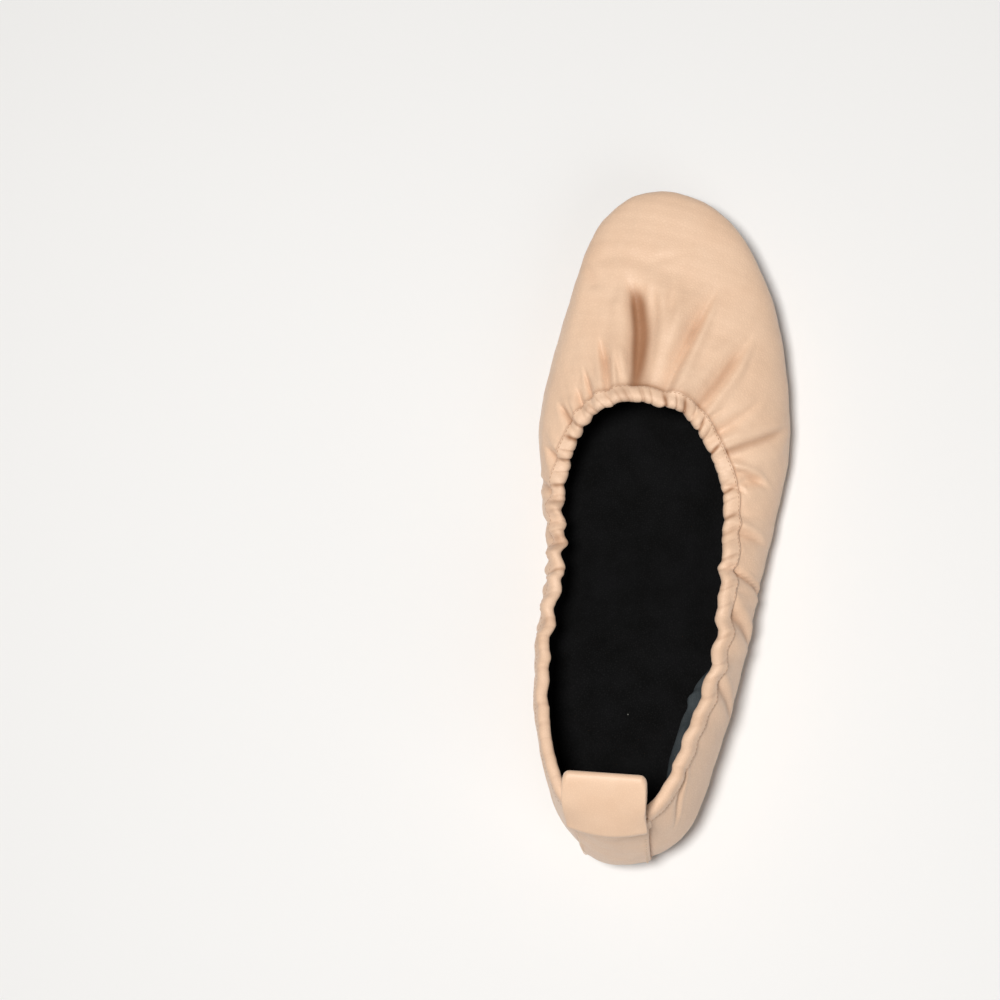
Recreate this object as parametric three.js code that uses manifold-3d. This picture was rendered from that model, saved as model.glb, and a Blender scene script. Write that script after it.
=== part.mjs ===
// A right-foot ballet slipper: a soft gathered leather upper, lasted on a thin leather sole.
// Millimetres, +X to the outer side of the foot, +Y to the toe, +Z up. The sole stands on z = 0.
import * as THREE from "three";
import { mergeVertices } from "three/addons/utils/BufferGeometryUtils.js";
import Module from "manifold-3d";

const wasm = await Module();
wasm.setup();

// ---- Driving dimensions -------------------------------------------------------------------------

const GAP = 0.3; // clearance kept between pieces that touch in the real shoe

// Bottom: heights and thicknesses
const LIFT_HEIGHT = 3.9;
const LIFT_BREAST_Y = 67; // front face of the heel lift
const LIFT_SPLIT_Y = 28.6; // where the rubber rear part of the lift begins
const OUTSOLE_THICKNESS = 3.6;
const RAMP_START_Y = 72; // the sole comes down from the lift...
const TREAD_START_Y = 126; // ...and is flat on the ground under the ball...
const TREAD_END_Y = 165; // ...up to here, where the toe spring begins
const TOE_Y = 248;
const TOE_SPRING = 17;
const TOE_SPRING_POWER = 1.7;

// Layers of the wall, as distances in from the outer face of the upper
const NAPPA_THICKNESS = 1.2;
const STIFFENER_THICKNESS = 0.8;
const LINING_THICKNESS = 0.6;
const LASTING_MARGIN = 11;

// Layers of the bottom, above the outsole
const BOARD_THICKNESS = 1.6;
const BOARD_INSET = 4.6;
const FOAM_THICKNESS = 2.0;
const SOCK_THICKNESS = 0.8;
const SOCK_INSET = 5.2;
const SHANK = { width: 11, from: 25, to: 106, thickness: 1.0, heelX: 4.5, waistX: 11 };

// Topline binding and elastic
const BINDING_WALL = 0.6;
const BINDING_DROP = 2.5; // how far its legs lap down over the upper
const BINDING_RISE = 3.2; // how far its roof stands above the upper's cut edge
const ELASTIC_RADIUS = 0.85;

// Backstay and pull loop
const BACKSTAY_THICKNESS = 1.0;
const BACKSTAY_FOOT_WIDTH = 23;
const BACKSTAY_TOP_WIDTH = 26;
const LOOP_WIDTH = 29;
const LOOP_ASIDE = -1.2; // sewn on slightly towards the inner side
const LOOP_LEAN = THREE.MathUtils.degToRad(35); // above the horizontal, leaning over the opening
const LOOP_CORNER = 3;
const LOOP_ROOT_RADIUS = 1.7;

// Nails
const NAIL_PLACES = [[-9, 40], [17, 40], [4, 49], [-6, 58], [15, 58]];
const NAIL_RADIUS = 0.9;
const NAIL_HEAD_RADIUS = 1.8;
const NAIL_HEAD_THICKNESS = 0.7;
const NAIL_POINT_Z = 1.4;

// How finely the walls are faceted. Every layer is cut at the same places, so the layers nest.
const COLUMNS_PER_STATION = 4;
const WALL_SHARES = [0, 0.08, 0.18, 0.3, 0.42, 0.54, 0.66, 0.76, 0.86, 0.94, 1];

// The wall of the shoe, station by station round the foot from the heel's centre by the outer side
// to the toe and back by the inner side. At each station the wall is one curve: it starts at the
// feather edge on the sole, is drawn by a low and a high handle, and ends at the topline.
const STATIONS = [
  { feather: [4, 9], low: [4, -9, 12], high: [4, 5, 38], top: [4, 11.5, 61] }, // heel centre
  { feather: [21, 16], low: [33, 5, 13], high: [26, 14, 38], top: [21.5, 21.5, 58] },
  { feather: [33, 45], low: [44.5, 45, 14], high: [38, 45, 38], top: [31, 45, 51] },
  { feather: [39, 75], low: [51, 75, 14], high: [44, 75, 33], top: [38.5, 75, 41.5] },
  { feather: [43, 105], low: [57, 105, 13], high: [47, 105, 29], top: [39.5, 105, 35.5] }, // outer waist
  { feather: [50.5, 135], low: [62, 135, 13], high: [50, 135, 31], top: [38.5, 134, 33] },
  { feather: [53.5, 163], low: [66, 162, 21], high: [46, 157, 38], top: [32, 151, 37] }, // outer ball
  { feather: [46, 205], low: [59, 210, 30], high: [38, 187, 35], top: [23, 163.5, 41.5] },
  { feather: [27.5, 236], low: [40, 249, 34], high: [21, 200, 31], top: [12.5, 167.2, 44.5] },
  { feather: [5, 246.5], low: [6, 259, 36], high: [4, 202, 30], top: [2.5, 169.3, 45.5] }, // toe
  { feather: [-12.5, 236], low: [-21.3, 247, 33], high: [-14, 200, 31], top: [-8, 166.6, 44.5] },
  { feather: [-23, 208], low: [-30.9, 210, 29], high: [-26, 187, 35], top: [-17, 160.5, 41] },
  { feather: [-31.5, 163], low: [-39.4, 163, 20], high: [-34, 156, 36], top: [-23.2, 147.5, 36.5] }, // inner ball
  { feather: [-27.5, 135], low: [-35.7, 135, 13], high: [-32, 134, 31], top: [-26, 131, 33] },
  { feather: [-19.5, 105], low: [-30, 105, 12], high: [-30, 105, 29], top: [-24.5, 105, 35.5] }, // inner waist
  { feather: [-21, 75], low: [-34.5, 75, 14], high: [-30.5, 75, 33], top: [-26.5, 75, 41.5] },
  { feather: [-20.5, 45], low: [-31, 45, 14], high: [-27, 45, 38], top: [-23, 45, 51] },
  { feather: [-10, 16], low: [-18, 6.5, 13], high: [-15, 14, 38], top: [-13.5, 21.5, 58] },
];
const STATION_COUNT = STATIONS.length;
const TOE_STATION = 9;

// ---- Heights of the bottom ----------------------------------------------------------------------

// Underside of the outsole: on the heel lift, down through the waist, flat at the ball, up to the toe.
function treadHeight(y) {
  const ramp = 1 - THREE.MathUtils.smoothstep(y, RAMP_START_Y, TREAD_START_Y);
  const spring = Math.max(0, (y - TREAD_END_Y) / (TOE_Y - TREAD_END_Y)) ** TOE_SPRING_POWER;
  return (LIFT_HEIGHT + GAP) * ramp + TOE_SPRING * spring;
}

// A layer of the bottom: its height above the outsole's upper face.
function aboveOutsole(y, height) {
  return treadHeight(y) + OUTSOLE_THICKNESS + height;
}

const MARGIN_BASE = GAP;
const MARGIN_TOP = MARGIN_BASE + NAPPA_THICKNESS;
const BOARD_BASE = MARGIN_TOP + GAP;
const FOAM_BASE = BOARD_BASE + BOARD_THICKNESS + GAP;
const SOCK_BASE = FOAM_BASE + FOAM_THICKNESS + GAP;

// ---- Surface of the wall ------------------------------------------------------------------------

// A closed smooth curve through one point of every station.
function guideCurve(pick) {
  return new THREE.CatmullRomCurve3(STATIONS.map(pick), true, "catmullrom", 0.5);
}

const featherCurve = guideCurve(({ feather: [x, y] }) => new THREE.Vector3(x, y, 0));
const lowCurve = guideCurve(({ low }) => new THREE.Vector3(...low));
const highCurve = guideCurve(({ high }) => new THREE.Vector3(...high));
const topCurve = guideCurve(({ top }) => new THREE.Vector3(...top));

function atStation(curve, station) {
  const turn = station / STATION_COUNT;
  return curve.getPoint(turn - Math.floor(turn));
}

function featherPoint(station) {
  const point = atStation(featherCurve, station);
  point.z = aboveOutsole(point.y, MARGIN_BASE);
  return point;
}

// A point of the upper's outer face: share 0 is the feather edge, share 1 the topline.
function wallPoint(station, share) {
  const curve = new THREE.CubicBezierCurve3(
    featherPoint(station),
    atStation(lowCurve, station),
    atStation(highCurve, station),
    atStation(topCurve, station),
  );
  return curve.getPoint(share);
}

// Unit directions at a point of the wall: up along the wall, and out of the shoe.
function wallDirections(station, share) {
  const step = 0.01;
  const low = Math.max(0, share - step);
  const high = Math.min(1, share + step);
  const up = wallPoint(station, high).sub(wallPoint(station, low)).normalize();
  const along = wallPoint(station + step, share).sub(wallPoint(station - step, share)).normalize();
  const out = new THREE.Vector3().crossVectors(along, up).normalize();
  return { up, out };
}

// A point off the wall: `depth` mm into the shoe and `rise` mm further up along the wall.
function wallOffset(station, share, depth, rise = 0) {
  const { up, out } = wallDirections(station, share);
  return wallPoint(station, share).addScaledVector(out, -depth).addScaledVector(up, rise);
}

// The share of the wall that lies `drop` mm below the topline.
function shareBelowTop(station, drop) {
  const handle = atStation(topCurve, station).distanceTo(atStation(highCurve, station));
  return 1 - drop / (3 * handle);
}

// A point near the topline: `out` mm off the wall, `rise` mm above the topline or, if negative,
// that far down the wall.
function toplinePoint(station, out, rise) {
  if (rise >= 0) return wallOffset(station, 1, -out, rise);
  return wallOffset(station, shareBelowTop(station, -rise), -out);
}

// The feather edge's outline in plan, moved `inset` mm inwards.
function outlinePoint(station, inset) {
  const step = 0.02;
  const along = atStation(featherCurve, station + step).sub(atStation(featherCurve, station - step));
  const inwards = new THREE.Vector3(-along.y, along.x, 0).normalize();
  return atStation(featherCurve, station).addScaledVector(inwards, inset);
}

// ---- Mesh helpers -------------------------------------------------------------------------------

function meshVolume(points, triangles) {
  let volume = 0;
  for (const [a, b, c] of triangles) {
    const cross = new THREE.Vector3().crossVectors(points[b], points[c]);
    volume += points[a].dot(cross) / 6;
  }
  return volume;
}

// A geometry from points and triangles, with its faces turned outwards.
function closedGeometry(points, triangles) {
  const inside = meshVolume(points, triangles) < 0;
  const index = triangles.flatMap(([a, b, c]) => (inside ? [a, c, b] : [a, b, c]));
  const geometry = new THREE.BufferGeometry();
  geometry.setAttribute("position", new THREE.Float32BufferAttribute(points.flatMap((p) => p.toArray()), 3));
  geometry.setIndex(index);
  return geometry;
}

// A closed solid from a row of like sections, each a closed loop of points. The row closes on
// itself when `ring` is true; otherwise its two end sections are filled as strips.
function loftSections(sections, ring) {
  const size = sections[0].length;
  const points = sections.flat();
  const triangles = [];
  const quad = (a, b, c, d) => triangles.push([a, b, c], [a, c, d]);
  const last = ring ? sections.length : sections.length - 1;
  for (let i = 0; i < last; i += 1) {
    const here = i * size;
    const next = ((i + 1) % sections.length) * size;
    for (let k = 0; k < size; k += 1) {
      const after = (k + 1) % size;
      quad(here + k, here + after, next + after, next + k);
    }
  }
  if (!ring) {
    const end = (sections.length - 1) * size;
    for (let k = 0; k < size / 2 - 1; k += 1) {
      const far = size - 1 - k;
      quad(k, far, far - 1, k + 1);
      quad(end + k, end + k + 1, end + far - 1, end + far);
    }
  }
  return closedGeometry(points, triangles);
}

function spread(from, to, count) {
  return Array.from({ length: count + 1 }, (_, i) => from + ((to - from) * i) / count);
}

// The stations at which a stretch of wall is cut: its two ends and every regular column between.
function columnsBetween(from, to) {
  const columns = [from];
  for (let i = Math.ceil(from * COLUMNS_PER_STATION); i <= to * COLUMNS_PER_STATION; i += 1) {
    const station = i / COLUMNS_PER_STATION;
    if (station - from > 0.1 && to - station > 0.1) columns.push(station);
  }
  columns.push(to);
  return columns;
}

// The columns all the way round the shoe, without a double at the seam.
function columnsRound() {
  return columnsBetween(0, STATION_COUNT).slice(0, -1);
}

// A layer of the wall between two depths, over a stretch of stations and of the wall's height.
function wallLayer({ from, to, upTo, depth, thickness }) {
  const shares = WALL_SHARES.filter((share) => share <= upTo);
  const sections = columnsBetween(from, to).map((station) => {
    const outer = shares.map((share) => wallOffset(station, share, depth(share)));
    const inner = shares.map((share) => wallOffset(station, share, depth(share) + thickness));
    return [...outer, ...inner.reverse()];
  });
  return loftSections(sections, false);
}

// A sheet of the bottom: rows across the shoe from one outline to the other, each a strip between
// a lower and an upper height. It tapers to a point where its first or last row has no width.
function bottomSheet(rows, lowAt, highAt, strips = 4) {
  const points = [];
  const triangles = [];
  const quad = (a, b, c, d) => triangles.push([a, b, c], [a, c, d]);
  const lines = rows.map(([left, right]) => {
    const narrow = left.distanceTo(right) < 0.01;
    const shares = narrow ? [0] : spread(0, 1, strips);
    const line = shares.map((share) => {
      const low = new THREE.Vector3().lerpVectors(left, right, share);
      const high = low.clone();
      low.z = lowAt(low.y);
      high.z = highAt(high.y);
      points.push(low, high);
      return points.length - 2;
    });
    return narrow ? Array(strips + 1).fill(line[0]) : line;
  });
  for (let j = 0; j < lines.length - 1; j += 1) {
    const here = lines[j];
    const next = lines[j + 1];
    for (let k = 0; k < strips; k += 1) {
      quad(here[k], here[k + 1], next[k + 1], next[k]);
      quad(here[k] + 1, next[k] + 1, next[k + 1] + 1, here[k + 1] + 1);
    }
    quad(here[0], next[0], next[0] + 1, here[0] + 1);
    quad(here[strips], here[strips] + 1, next[strips] + 1, next[strips]);
  }
  for (const [line, turned] of [[lines[0], false], [lines.at(-1), true]]) {
    for (let k = 0; k < strips; k += 1) {
      const corners = [line[k], line[k] + 1, line[k + 1] + 1, line[k + 1]];
      quad(...(turned ? corners.reverse() : corners));
    }
  }
  const whole = triangles.filter(([a, b, c]) => a !== b && b !== c && a !== c);
  return closedGeometry(points, whole);
}

// Station on the outer (+1) or inner (-1) side where an inset outline crosses a given y.
function stationAtY(y, inset, side) {
  let low = 0;
  let high = TOE_STATION;
  for (let i = 0; i < 40; i += 1) {
    const middle = (low + high) / 2;
    if (outlinePoint(side * middle, inset).y < y) low = middle;
    else high = middle;
  }
  return low;
}

// Rows across the outline between two y values; left out, the rows run to the heel's or toe's end.
function outlineRows(inset, { fromY, toY, count }) {
  const start = [1, -1].map((side) => (fromY === undefined ? 0 : stationAtY(fromY, inset, side)));
  const end = [1, -1].map((side) => (toY === undefined ? TOE_STATION : stationAtY(toY, inset, side)));
  return spread(0, 1, count).map((share) => {
    const right = outlinePoint(THREE.MathUtils.lerp(start[0], end[0], share), inset);
    const left = outlinePoint(-THREE.MathUtils.lerp(start[1], end[1], share), inset);
    return [left, right];
  });
}

// A geometry with its shared vertices merged and the triangles that this closes up left out.
function weld(geometry) {
  const bare = geometry.clone();
  bare.deleteAttribute("normal");
  bare.deleteAttribute("uv");
  const merged = mergeVertices(bare, 1e-4);
  const index = merged.index.array;
  const kept = [];
  for (let i = 0; i < index.length; i += 3) {
    const [a, b, c] = index.slice(i, i + 3);
    if (a !== b && b !== c && a !== c) kept.push(a, b, c);
  }
  merged.setIndex(kept);
  return merged;
}

// A geometry as a manifold solid, and back.
function toSolid(geometry) {
  const welded = weld(geometry);
  const vertProperties = new Float32Array(welded.attributes.position.array);
  const triVerts = new Uint32Array(welded.index.array);
  return new wasm.Manifold(new wasm.Mesh({ numProp: 3, vertProperties, triVerts }));
}

function toGeometry(solid) {
  const { vertProperties, triVerts } = solid.getMesh();
  const geometry = new THREE.BufferGeometry();
  geometry.setAttribute("position", new THREE.BufferAttribute(vertProperties, 3));
  geometry.setIndex(new THREE.BufferAttribute(triVerts, 1));
  return geometry;
}

// ---- Wall pieces --------------------------------------------------------------------------------

const liningDepth = (share) => {
  const hollow = 1 - THREE.MathUtils.smoothstep(share, 0.62, 0.86);
  const stack = NAPPA_THICKNESS + GAP;
  return stack + (STIFFENER_THICKNESS + GAP) * hollow;
};

// The upper: its wall, and the lasting margin that turns in under the insole board.
function makeUpper() {
  const sections = columnsRound().map((station) => {
    const marginLow = outlinePoint(station, LASTING_MARGIN);
    const marginHigh = marginLow.clone();
    marginLow.z = aboveOutsole(marginLow.y, MARGIN_BASE);
    marginHigh.z = aboveOutsole(marginHigh.y, MARGIN_TOP);
    const outer = WALL_SHARES.map((share) => wallPoint(station, share));
    const inner = WALL_SHARES.map((share) => wallOffset(station, share, NAPPA_THICKNESS));
    return [marginLow, ...outer, ...inner.reverse(), marginHigh];
  });
  return loftSections(sections, true);
}

const LINING_JOINT = 4.6; // station of the side seam between front and back lining
const JOINT_GAP = 0.01; // half the seam's gap, in stations

function makeVampLining() {
  const from = LINING_JOINT + JOINT_GAP;
  const to = STATION_COUNT - from;
  return wallLayer({ from, to, upTo: 1, depth: liningDepth, thickness: LINING_THICKNESS });
}

function makeQuarterLining() {
  const to = LINING_JOINT - JOINT_GAP;
  return wallLayer({ from: -to, to, upTo: 1, depth: liningDepth, thickness: LINING_THICKNESS });
}

const stiffenerDepth = () => NAPPA_THICKNESS + GAP;

function makeToePuff() {
  return wallLayer({ from: 7.25, to: 10.75, upTo: 0.42, depth: stiffenerDepth, thickness: STIFFENER_THICKNESS });
}

function makeHeelCounter() {
  return wallLayer({ from: -2.5, to: 2.5, upTo: 0.66, depth: stiffenerDepth, thickness: STIFFENER_THICKNESS });
}

// ---- Topline ------------------------------------------------------------------------------------

const STACK = NAPPA_THICKNESS + GAP + LINING_THICKNESS; // upper and lining at the topline
const TUNNEL_OUT = GAP;
const TUNNEL_IN = -STACK - GAP;

// Section of the binding: [distance out from the upper's face, height above its cut edge].
const BINDING_SECTION = [
  [TUNNEL_OUT, -BINDING_DROP],
  [TUNNEL_OUT + BINDING_WALL, -BINDING_DROP],
  [TUNNEL_OUT + BINDING_WALL, BINDING_RISE * 0.5],
  [TUNNEL_OUT - 0.5, BINDING_RISE],
  [TUNNEL_IN + 0.5, BINDING_RISE],
  [TUNNEL_IN - BINDING_WALL, BINDING_RISE * 0.5],
  [TUNNEL_IN - BINDING_WALL, -BINDING_DROP],
  [TUNNEL_IN, -BINDING_DROP],
  [TUNNEL_IN, BINDING_RISE - BINDING_WALL],
  [TUNNEL_OUT, BINDING_RISE - BINDING_WALL],
  [TUNNEL_OUT, 0],
];

// A ring that follows the topline with the same section all round.
function toplineRing(section) {
  const sections = columnsRound().map((station) =>
    section.map(([out, rise]) => toplinePoint(station, out, rise)));
  return loftSections(sections, true);
}

function makeTopBinding() {
  return toplineRing(BINDING_SECTION);
}

function makeElastic() {
  const middle = (TUNNEL_OUT + TUNNEL_IN) / 2;
  const height = BINDING_RISE - BINDING_WALL - GAP - ELASTIC_RADIUS;
  const sides = 6;
  const section = Array.from({ length: sides }, (_, i) => {
    const angle = (i / sides) * 2 * Math.PI;
    return [middle + ELASTIC_RADIUS * Math.cos(angle), height + ELASTIC_RADIUS * Math.sin(angle)];
  });
  return toplineRing(section);
}

// ---- Backstay and pull loop ---------------------------------------------------------------------

// The strip down the back of the heel follows the wall from the feather edge, and steps out over
// the binding at the top: [distance out, rise above the topline] of each upper row.
const OVER_BINDING = TUNNEL_OUT + BINDING_WALL + GAP;
const BACKSTAY_STEP = [
  [GAP, -BINDING_DROP - 2.2],
  [OVER_BINDING, -BINDING_DROP - 0.6],
  [OVER_BINDING, 0],
  [OVER_BINDING, BINDING_RISE - 0.4],
];

// The station near the heel's centre where the wall stands `reach` mm to the side of that centre.
function stationAtReach(share, reach) {
  const middle = wallPoint(0, share).x;
  let near = 0;
  let far = 2 * Math.sign(reach);
  for (let i = 0; i < 30; i += 1) {
    const station = (near + far) / 2;
    if (Math.abs(wallPoint(station, share).x - middle) < Math.abs(reach)) near = station;
    else far = station;
  }
  return near;
}

function makeBackstay() {
  const lowShares = WALL_SHARES.filter((share) => share < 0.8);
  const sections = spread(-0.5, 0.5, 8).map((part) => {
    const stationAt = (share) =>
      stationAtReach(share, part * THREE.MathUtils.lerp(BACKSTAY_FOOT_WIDTH, BACKSTAY_TOP_WIDTH, share));
    const face = (lift) => [
      ...lowShares.map((share) => wallOffset(stationAt(share), share, -GAP - lift)),
      ...BACKSTAY_STEP.map(([out, rise]) => toplinePoint(stationAt(1), out + lift, rise)),
    ];
    return [...face(BACKSTAY_THICKNESS), ...face(0).reverse()];
  });
  return loftSections(sections, false);
}

// The pull loop's side view, in its own frame: x along the loop from the hinge, y towards its back.
const LOOP_BACK = [[0, LOOP_ROOT_RADIUS], [6, 2.3], [13, 2.3], [19.5, 1.7]];
const LOOP_TIP = [[22.2, 0.2], [22.4, -1.3], [20.6, -2.9]];
const LOOP_FRONT = [[14, -3.2], [7.5, -2.0], [0, -LOOP_ROOT_RADIUS]];
const LOOP_HOLE = [[6.2, 0.5], [9, -0.5], [14, -1.5], [19.6, -1.3], [20.6, -0.7], [19, 0], [13, 0.6]];
const LOOP_LENGTH = 22.6;

const toVector2 = ([x, y]) => new THREE.Vector2(x, y);

function loopOutline() {
  const shape = new THREE.Shape();
  shape.moveTo(0, LOOP_ROOT_RADIUS);
  shape.splineThru([...LOOP_BACK.slice(1), ...LOOP_TIP, ...LOOP_FRONT].map(toVector2));
  shape.absarc(0, 0, LOOP_ROOT_RADIUS, -Math.PI / 2, Math.PI / 2, true);
  const hole = new THREE.Path();
  hole.moveTo(...LOOP_HOLE[0]);
  hole.splineThru([...LOOP_HOLE.slice(1), LOOP_HOLE[0]].map(toVector2));
  shape.holes.push(hole);
  return shape;
}

// A block with two rounded corners at its far end, which trims the loop's tip.
function loopTrimmer() {
  const half = LOOP_WIDTH / 2;
  const inner = half - LOOP_CORNER;
  const shape = new THREE.Shape();
  shape.moveTo(-5, -half);
  shape.lineTo(LOOP_LENGTH - LOOP_CORNER, -half);
  shape.absarc(LOOP_LENGTH - LOOP_CORNER, -inner, LOOP_CORNER, -Math.PI / 2, 0);
  shape.lineTo(LOOP_LENGTH, inner);
  shape.absarc(LOOP_LENGTH - LOOP_CORNER, inner, LOOP_CORNER, 0, Math.PI / 2);
  shape.lineTo(-5, half);
  shape.closePath();
  const block = new THREE.ExtrudeGeometry(shape, { depth: 20, bevelEnabled: false, curveSegments: 4 });
  return block.translate(0, 0, -10).rotateX(Math.PI / 2);
}

function makePullLoop() {
  const settings = { depth: LOOP_WIDTH + 2, bevelEnabled: false, curveSegments: 5 };
  const strip = new THREE.ExtrudeGeometry(loopOutline(), settings);
  strip.translate(0, 0, -LOOP_WIDTH / 2 - 1);
  const loop = toGeometry(toSolid(strip).intersect(toSolid(loopTrimmer())));
  // x along the loop becomes +Y, its width becomes X, and it is tipped up about the hinge.
  const turn = new THREE.Matrix4().makeBasis(
    new THREE.Vector3(0, Math.cos(LOOP_LEAN), Math.sin(LOOP_LEAN)),
    new THREE.Vector3(0, -Math.sin(LOOP_LEAN), Math.cos(LOOP_LEAN)),
    new THREE.Vector3(1, 0, 0),
  );
  loop.applyMatrix4(turn);
  return loop.translate(LOOP_HINGE.x + LOOP_ASIDE, LOOP_HINGE.y, LOOP_HINGE.z);
}

// The hinge line is along X, just above the binding's roof at the back of the heel.
const LOOP_HINGE = wallOffset(0, 1, -0.7, BINDING_RISE + LOOP_ROOT_RADIUS + GAP);

// ---- Bottom pieces ------------------------------------------------------------------------------

function makeNail([x, y]) {
  const top = aboveOutsole(y, 0);
  const profile = [
    [0, NAIL_POINT_Z],
    [NAIL_RADIUS, NAIL_POINT_Z + 1],
    [NAIL_RADIUS, top - NAIL_HEAD_THICKNESS],
    [NAIL_HEAD_RADIUS, top],
    [0, top],
  ];
  const nail = new THREE.LatheGeometry(profile.map(toVector2), 8);
  return nail.rotateX(Math.PI / 2).translate(x, y, 0);
}

// The hole that a nail sits in, a clearance wider all round, open at the top.
function nailHole([x, y]) {
  const top = aboveOutsole(y, 0);
  const clear = 0.15;
  const profile = [
    [0, NAIL_POINT_Z - 0.4],
    [NAIL_RADIUS + clear, NAIL_POINT_Z - 0.4],
    [NAIL_RADIUS + clear, top - NAIL_HEAD_THICKNESS - clear],
    [NAIL_HEAD_RADIUS + clear, top - clear],
    [NAIL_HEAD_RADIUS + clear, top + 1],
    [0, top + 1],
  ];
  const hole = new THREE.LatheGeometry(profile.map(toVector2), 8);
  return hole.rotateX(Math.PI / 2).translate(x, y, 0);
}

function drillForNails(geometry) {
  let solid = toSolid(geometry);
  for (const place of NAIL_PLACES) solid = solid.subtract(toSolid(nailHole(place)));
  return toGeometry(solid);
}

function makeOutsole() {
  const rows = outlineRows(0, { count: 30 });
  return drillForNails(bottomSheet(rows, treadHeight, (y) => aboveOutsole(y, 0)));
}

function makeLiftLeather() {
  const rows = outlineRows(0.4, { fromY: LIFT_SPLIT_Y + GAP, toY: LIFT_BREAST_Y, count: 6 });
  return drillForNails(bottomSheet(rows, () => 0, () => LIFT_HEIGHT, 2));
}

function makeLiftRubber() {
  const rows = outlineRows(0.4, { toY: LIFT_SPLIT_Y, count: 7 });
  return bottomSheet(rows, () => 0, () => LIFT_HEIGHT, 2);
}

function bottomLayer(inset, base, thickness, limits) {
  const rows = outlineRows(inset, limits);
  return bottomSheet(rows, (y) => aboveOutsole(y, base), (y) => aboveOutsole(y, base + thickness), 3);
}

function makeInsoleBoard() {
  return bottomLayer(BOARD_INSET, BOARD_BASE, BOARD_THICKNESS, { count: 24 });
}

function makeSockFoam() {
  return bottomLayer(SOCK_INSET, FOAM_BASE, FOAM_THICKNESS, { count: 24 });
}

function makeSockLining() {
  return bottomLayer(SOCK_INSET, SOCK_BASE, SOCK_THICKNESS, { count: 24 });
}

function makeBottomFiller() {
  const inset = LASTING_MARGIN + GAP + 0.4;
  return bottomLayer(inset, MARGIN_BASE, NAPPA_THICKNESS, { fromY: SHANK.to + 3, count: 16 });
}

function makeShank() {
  const rows = spread(0, 1, 10).map((share) => {
    const x = THREE.MathUtils.lerp(SHANK.heelX, SHANK.waistX, share);
    const y = THREE.MathUtils.lerp(SHANK.from, SHANK.to, share);
    return [new THREE.Vector3(x - SHANK.width / 2, y, 0), new THREE.Vector3(x + SHANK.width / 2, y, 0)];
  });
  const base = MARGIN_BASE + 0.1;
  return bottomSheet(rows, (y) => aboveOutsole(y, base), (y) => aboveOutsole(y, base + SHANK.thickness), 1);
}

// ---- Assembly -----------------------------------------------------------------------------------

function finish(color, roughness, metalness = 0) {
  return new THREE.MeshStandardMaterial({ color, roughness, metalness });
}

const NAPPA = 0xdcb598;
const BLACK = 0x17171a;
const SOLE_BROWN = 0x75553e;

const group = new THREE.Group();

function addPiece(name, geometry, material) {
  const mesh = new THREE.Mesh(geometry, material);
  mesh.name = name;
  group.add(mesh);
}

addPiece("upper", makeUpper(), finish(NAPPA, 0.55));
addPiece("topline_binding", makeTopBinding(), finish(NAPPA, 0.55));
addPiece("elastic_cord", makeElastic(), finish(0xe8e2d8, 0.9));
addPiece("backstay", makeBackstay(), finish(NAPPA, 0.55));
addPiece("pull_loop", makePullLoop(), finish(NAPPA, 0.5));
addPiece("vamp_lining", makeVampLining(), finish(BLACK, 0.9));
addPiece("quarter_lining", makeQuarterLining(), finish(0x2b2f33, 0.95));
addPiece("toe_puff", makeToePuff(), finish(0xcfc8ba, 0.9));
addPiece("heel_counter", makeHeelCounter(), finish(0xb8a78c, 0.9));
addPiece("insole_board", makeInsoleBoard(), finish(0x9a7b58, 0.9));
addPiece("bottom_filler", makeBottomFiller(), finish(0x8a6a48, 0.95));
addPiece("shank", makeShank(), finish(0x8d9094, 0.35, 1));
addPiece("sock_foam", makeSockFoam(), finish(0xd8d2c4, 0.95));
addPiece("sock_lining", makeSockLining(), finish(BLACK, 0.6));
addPiece("outsole", makeOutsole(), finish(SOLE_BROWN, 0.7));
addPiece("heel_lift_leather", makeLiftLeather(), finish(0x53321f, 0.85));
addPiece("heel_lift_rubber", makeLiftRubber(), finish(0x7e5d45, 0.8));
NAIL_PLACES.forEach((place, i) => {
  addPiece(`heel_nail_${i + 1}`, makeNail(place), finish(0xb08d4a, 0.4, 1));
});

// The shoe stands on z = 0 with the middle of its bounding box over the origin.
const box = new THREE.Box3().setFromObject(group);
group.position.set(-(box.min.x + box.max.x) / 2, -(box.min.y + box.max.y) / 2, -box.min.z);
group.updateMatrixWorld(true);

export default group;
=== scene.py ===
"""Looks of a right-foot ballet slipper in soft gathered leather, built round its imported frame.

Guide lines are in millimetres on axes of their own, and every finished point is in metres in the
frame's axes: +X to the outer side of the foot, +Y to the toe and +Z up, with the sole on z = 0.
"""

import math

import bpy
import numpy as np
from mathutils import Matrix, Vector


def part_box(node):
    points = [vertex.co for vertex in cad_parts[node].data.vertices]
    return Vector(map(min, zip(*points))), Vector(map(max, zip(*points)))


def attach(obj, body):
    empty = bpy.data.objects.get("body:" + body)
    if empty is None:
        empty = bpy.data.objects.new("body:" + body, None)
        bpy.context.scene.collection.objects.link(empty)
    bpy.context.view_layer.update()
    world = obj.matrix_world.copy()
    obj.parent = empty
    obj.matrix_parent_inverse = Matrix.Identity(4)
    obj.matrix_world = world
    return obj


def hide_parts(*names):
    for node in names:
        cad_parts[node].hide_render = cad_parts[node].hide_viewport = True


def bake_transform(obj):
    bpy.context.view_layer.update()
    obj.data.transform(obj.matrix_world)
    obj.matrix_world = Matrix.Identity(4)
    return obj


bl_info = {
    "name": "Ballet slipper",
    "version": (1, 0, 0),
    "blender": (4, 5, 0),
    "location": "View3D > Sidebar > Slipper",
    "description": "Builds a soft gathered leather ballet slipper round its frame",
    "category": "Add Mesh",
}

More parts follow.
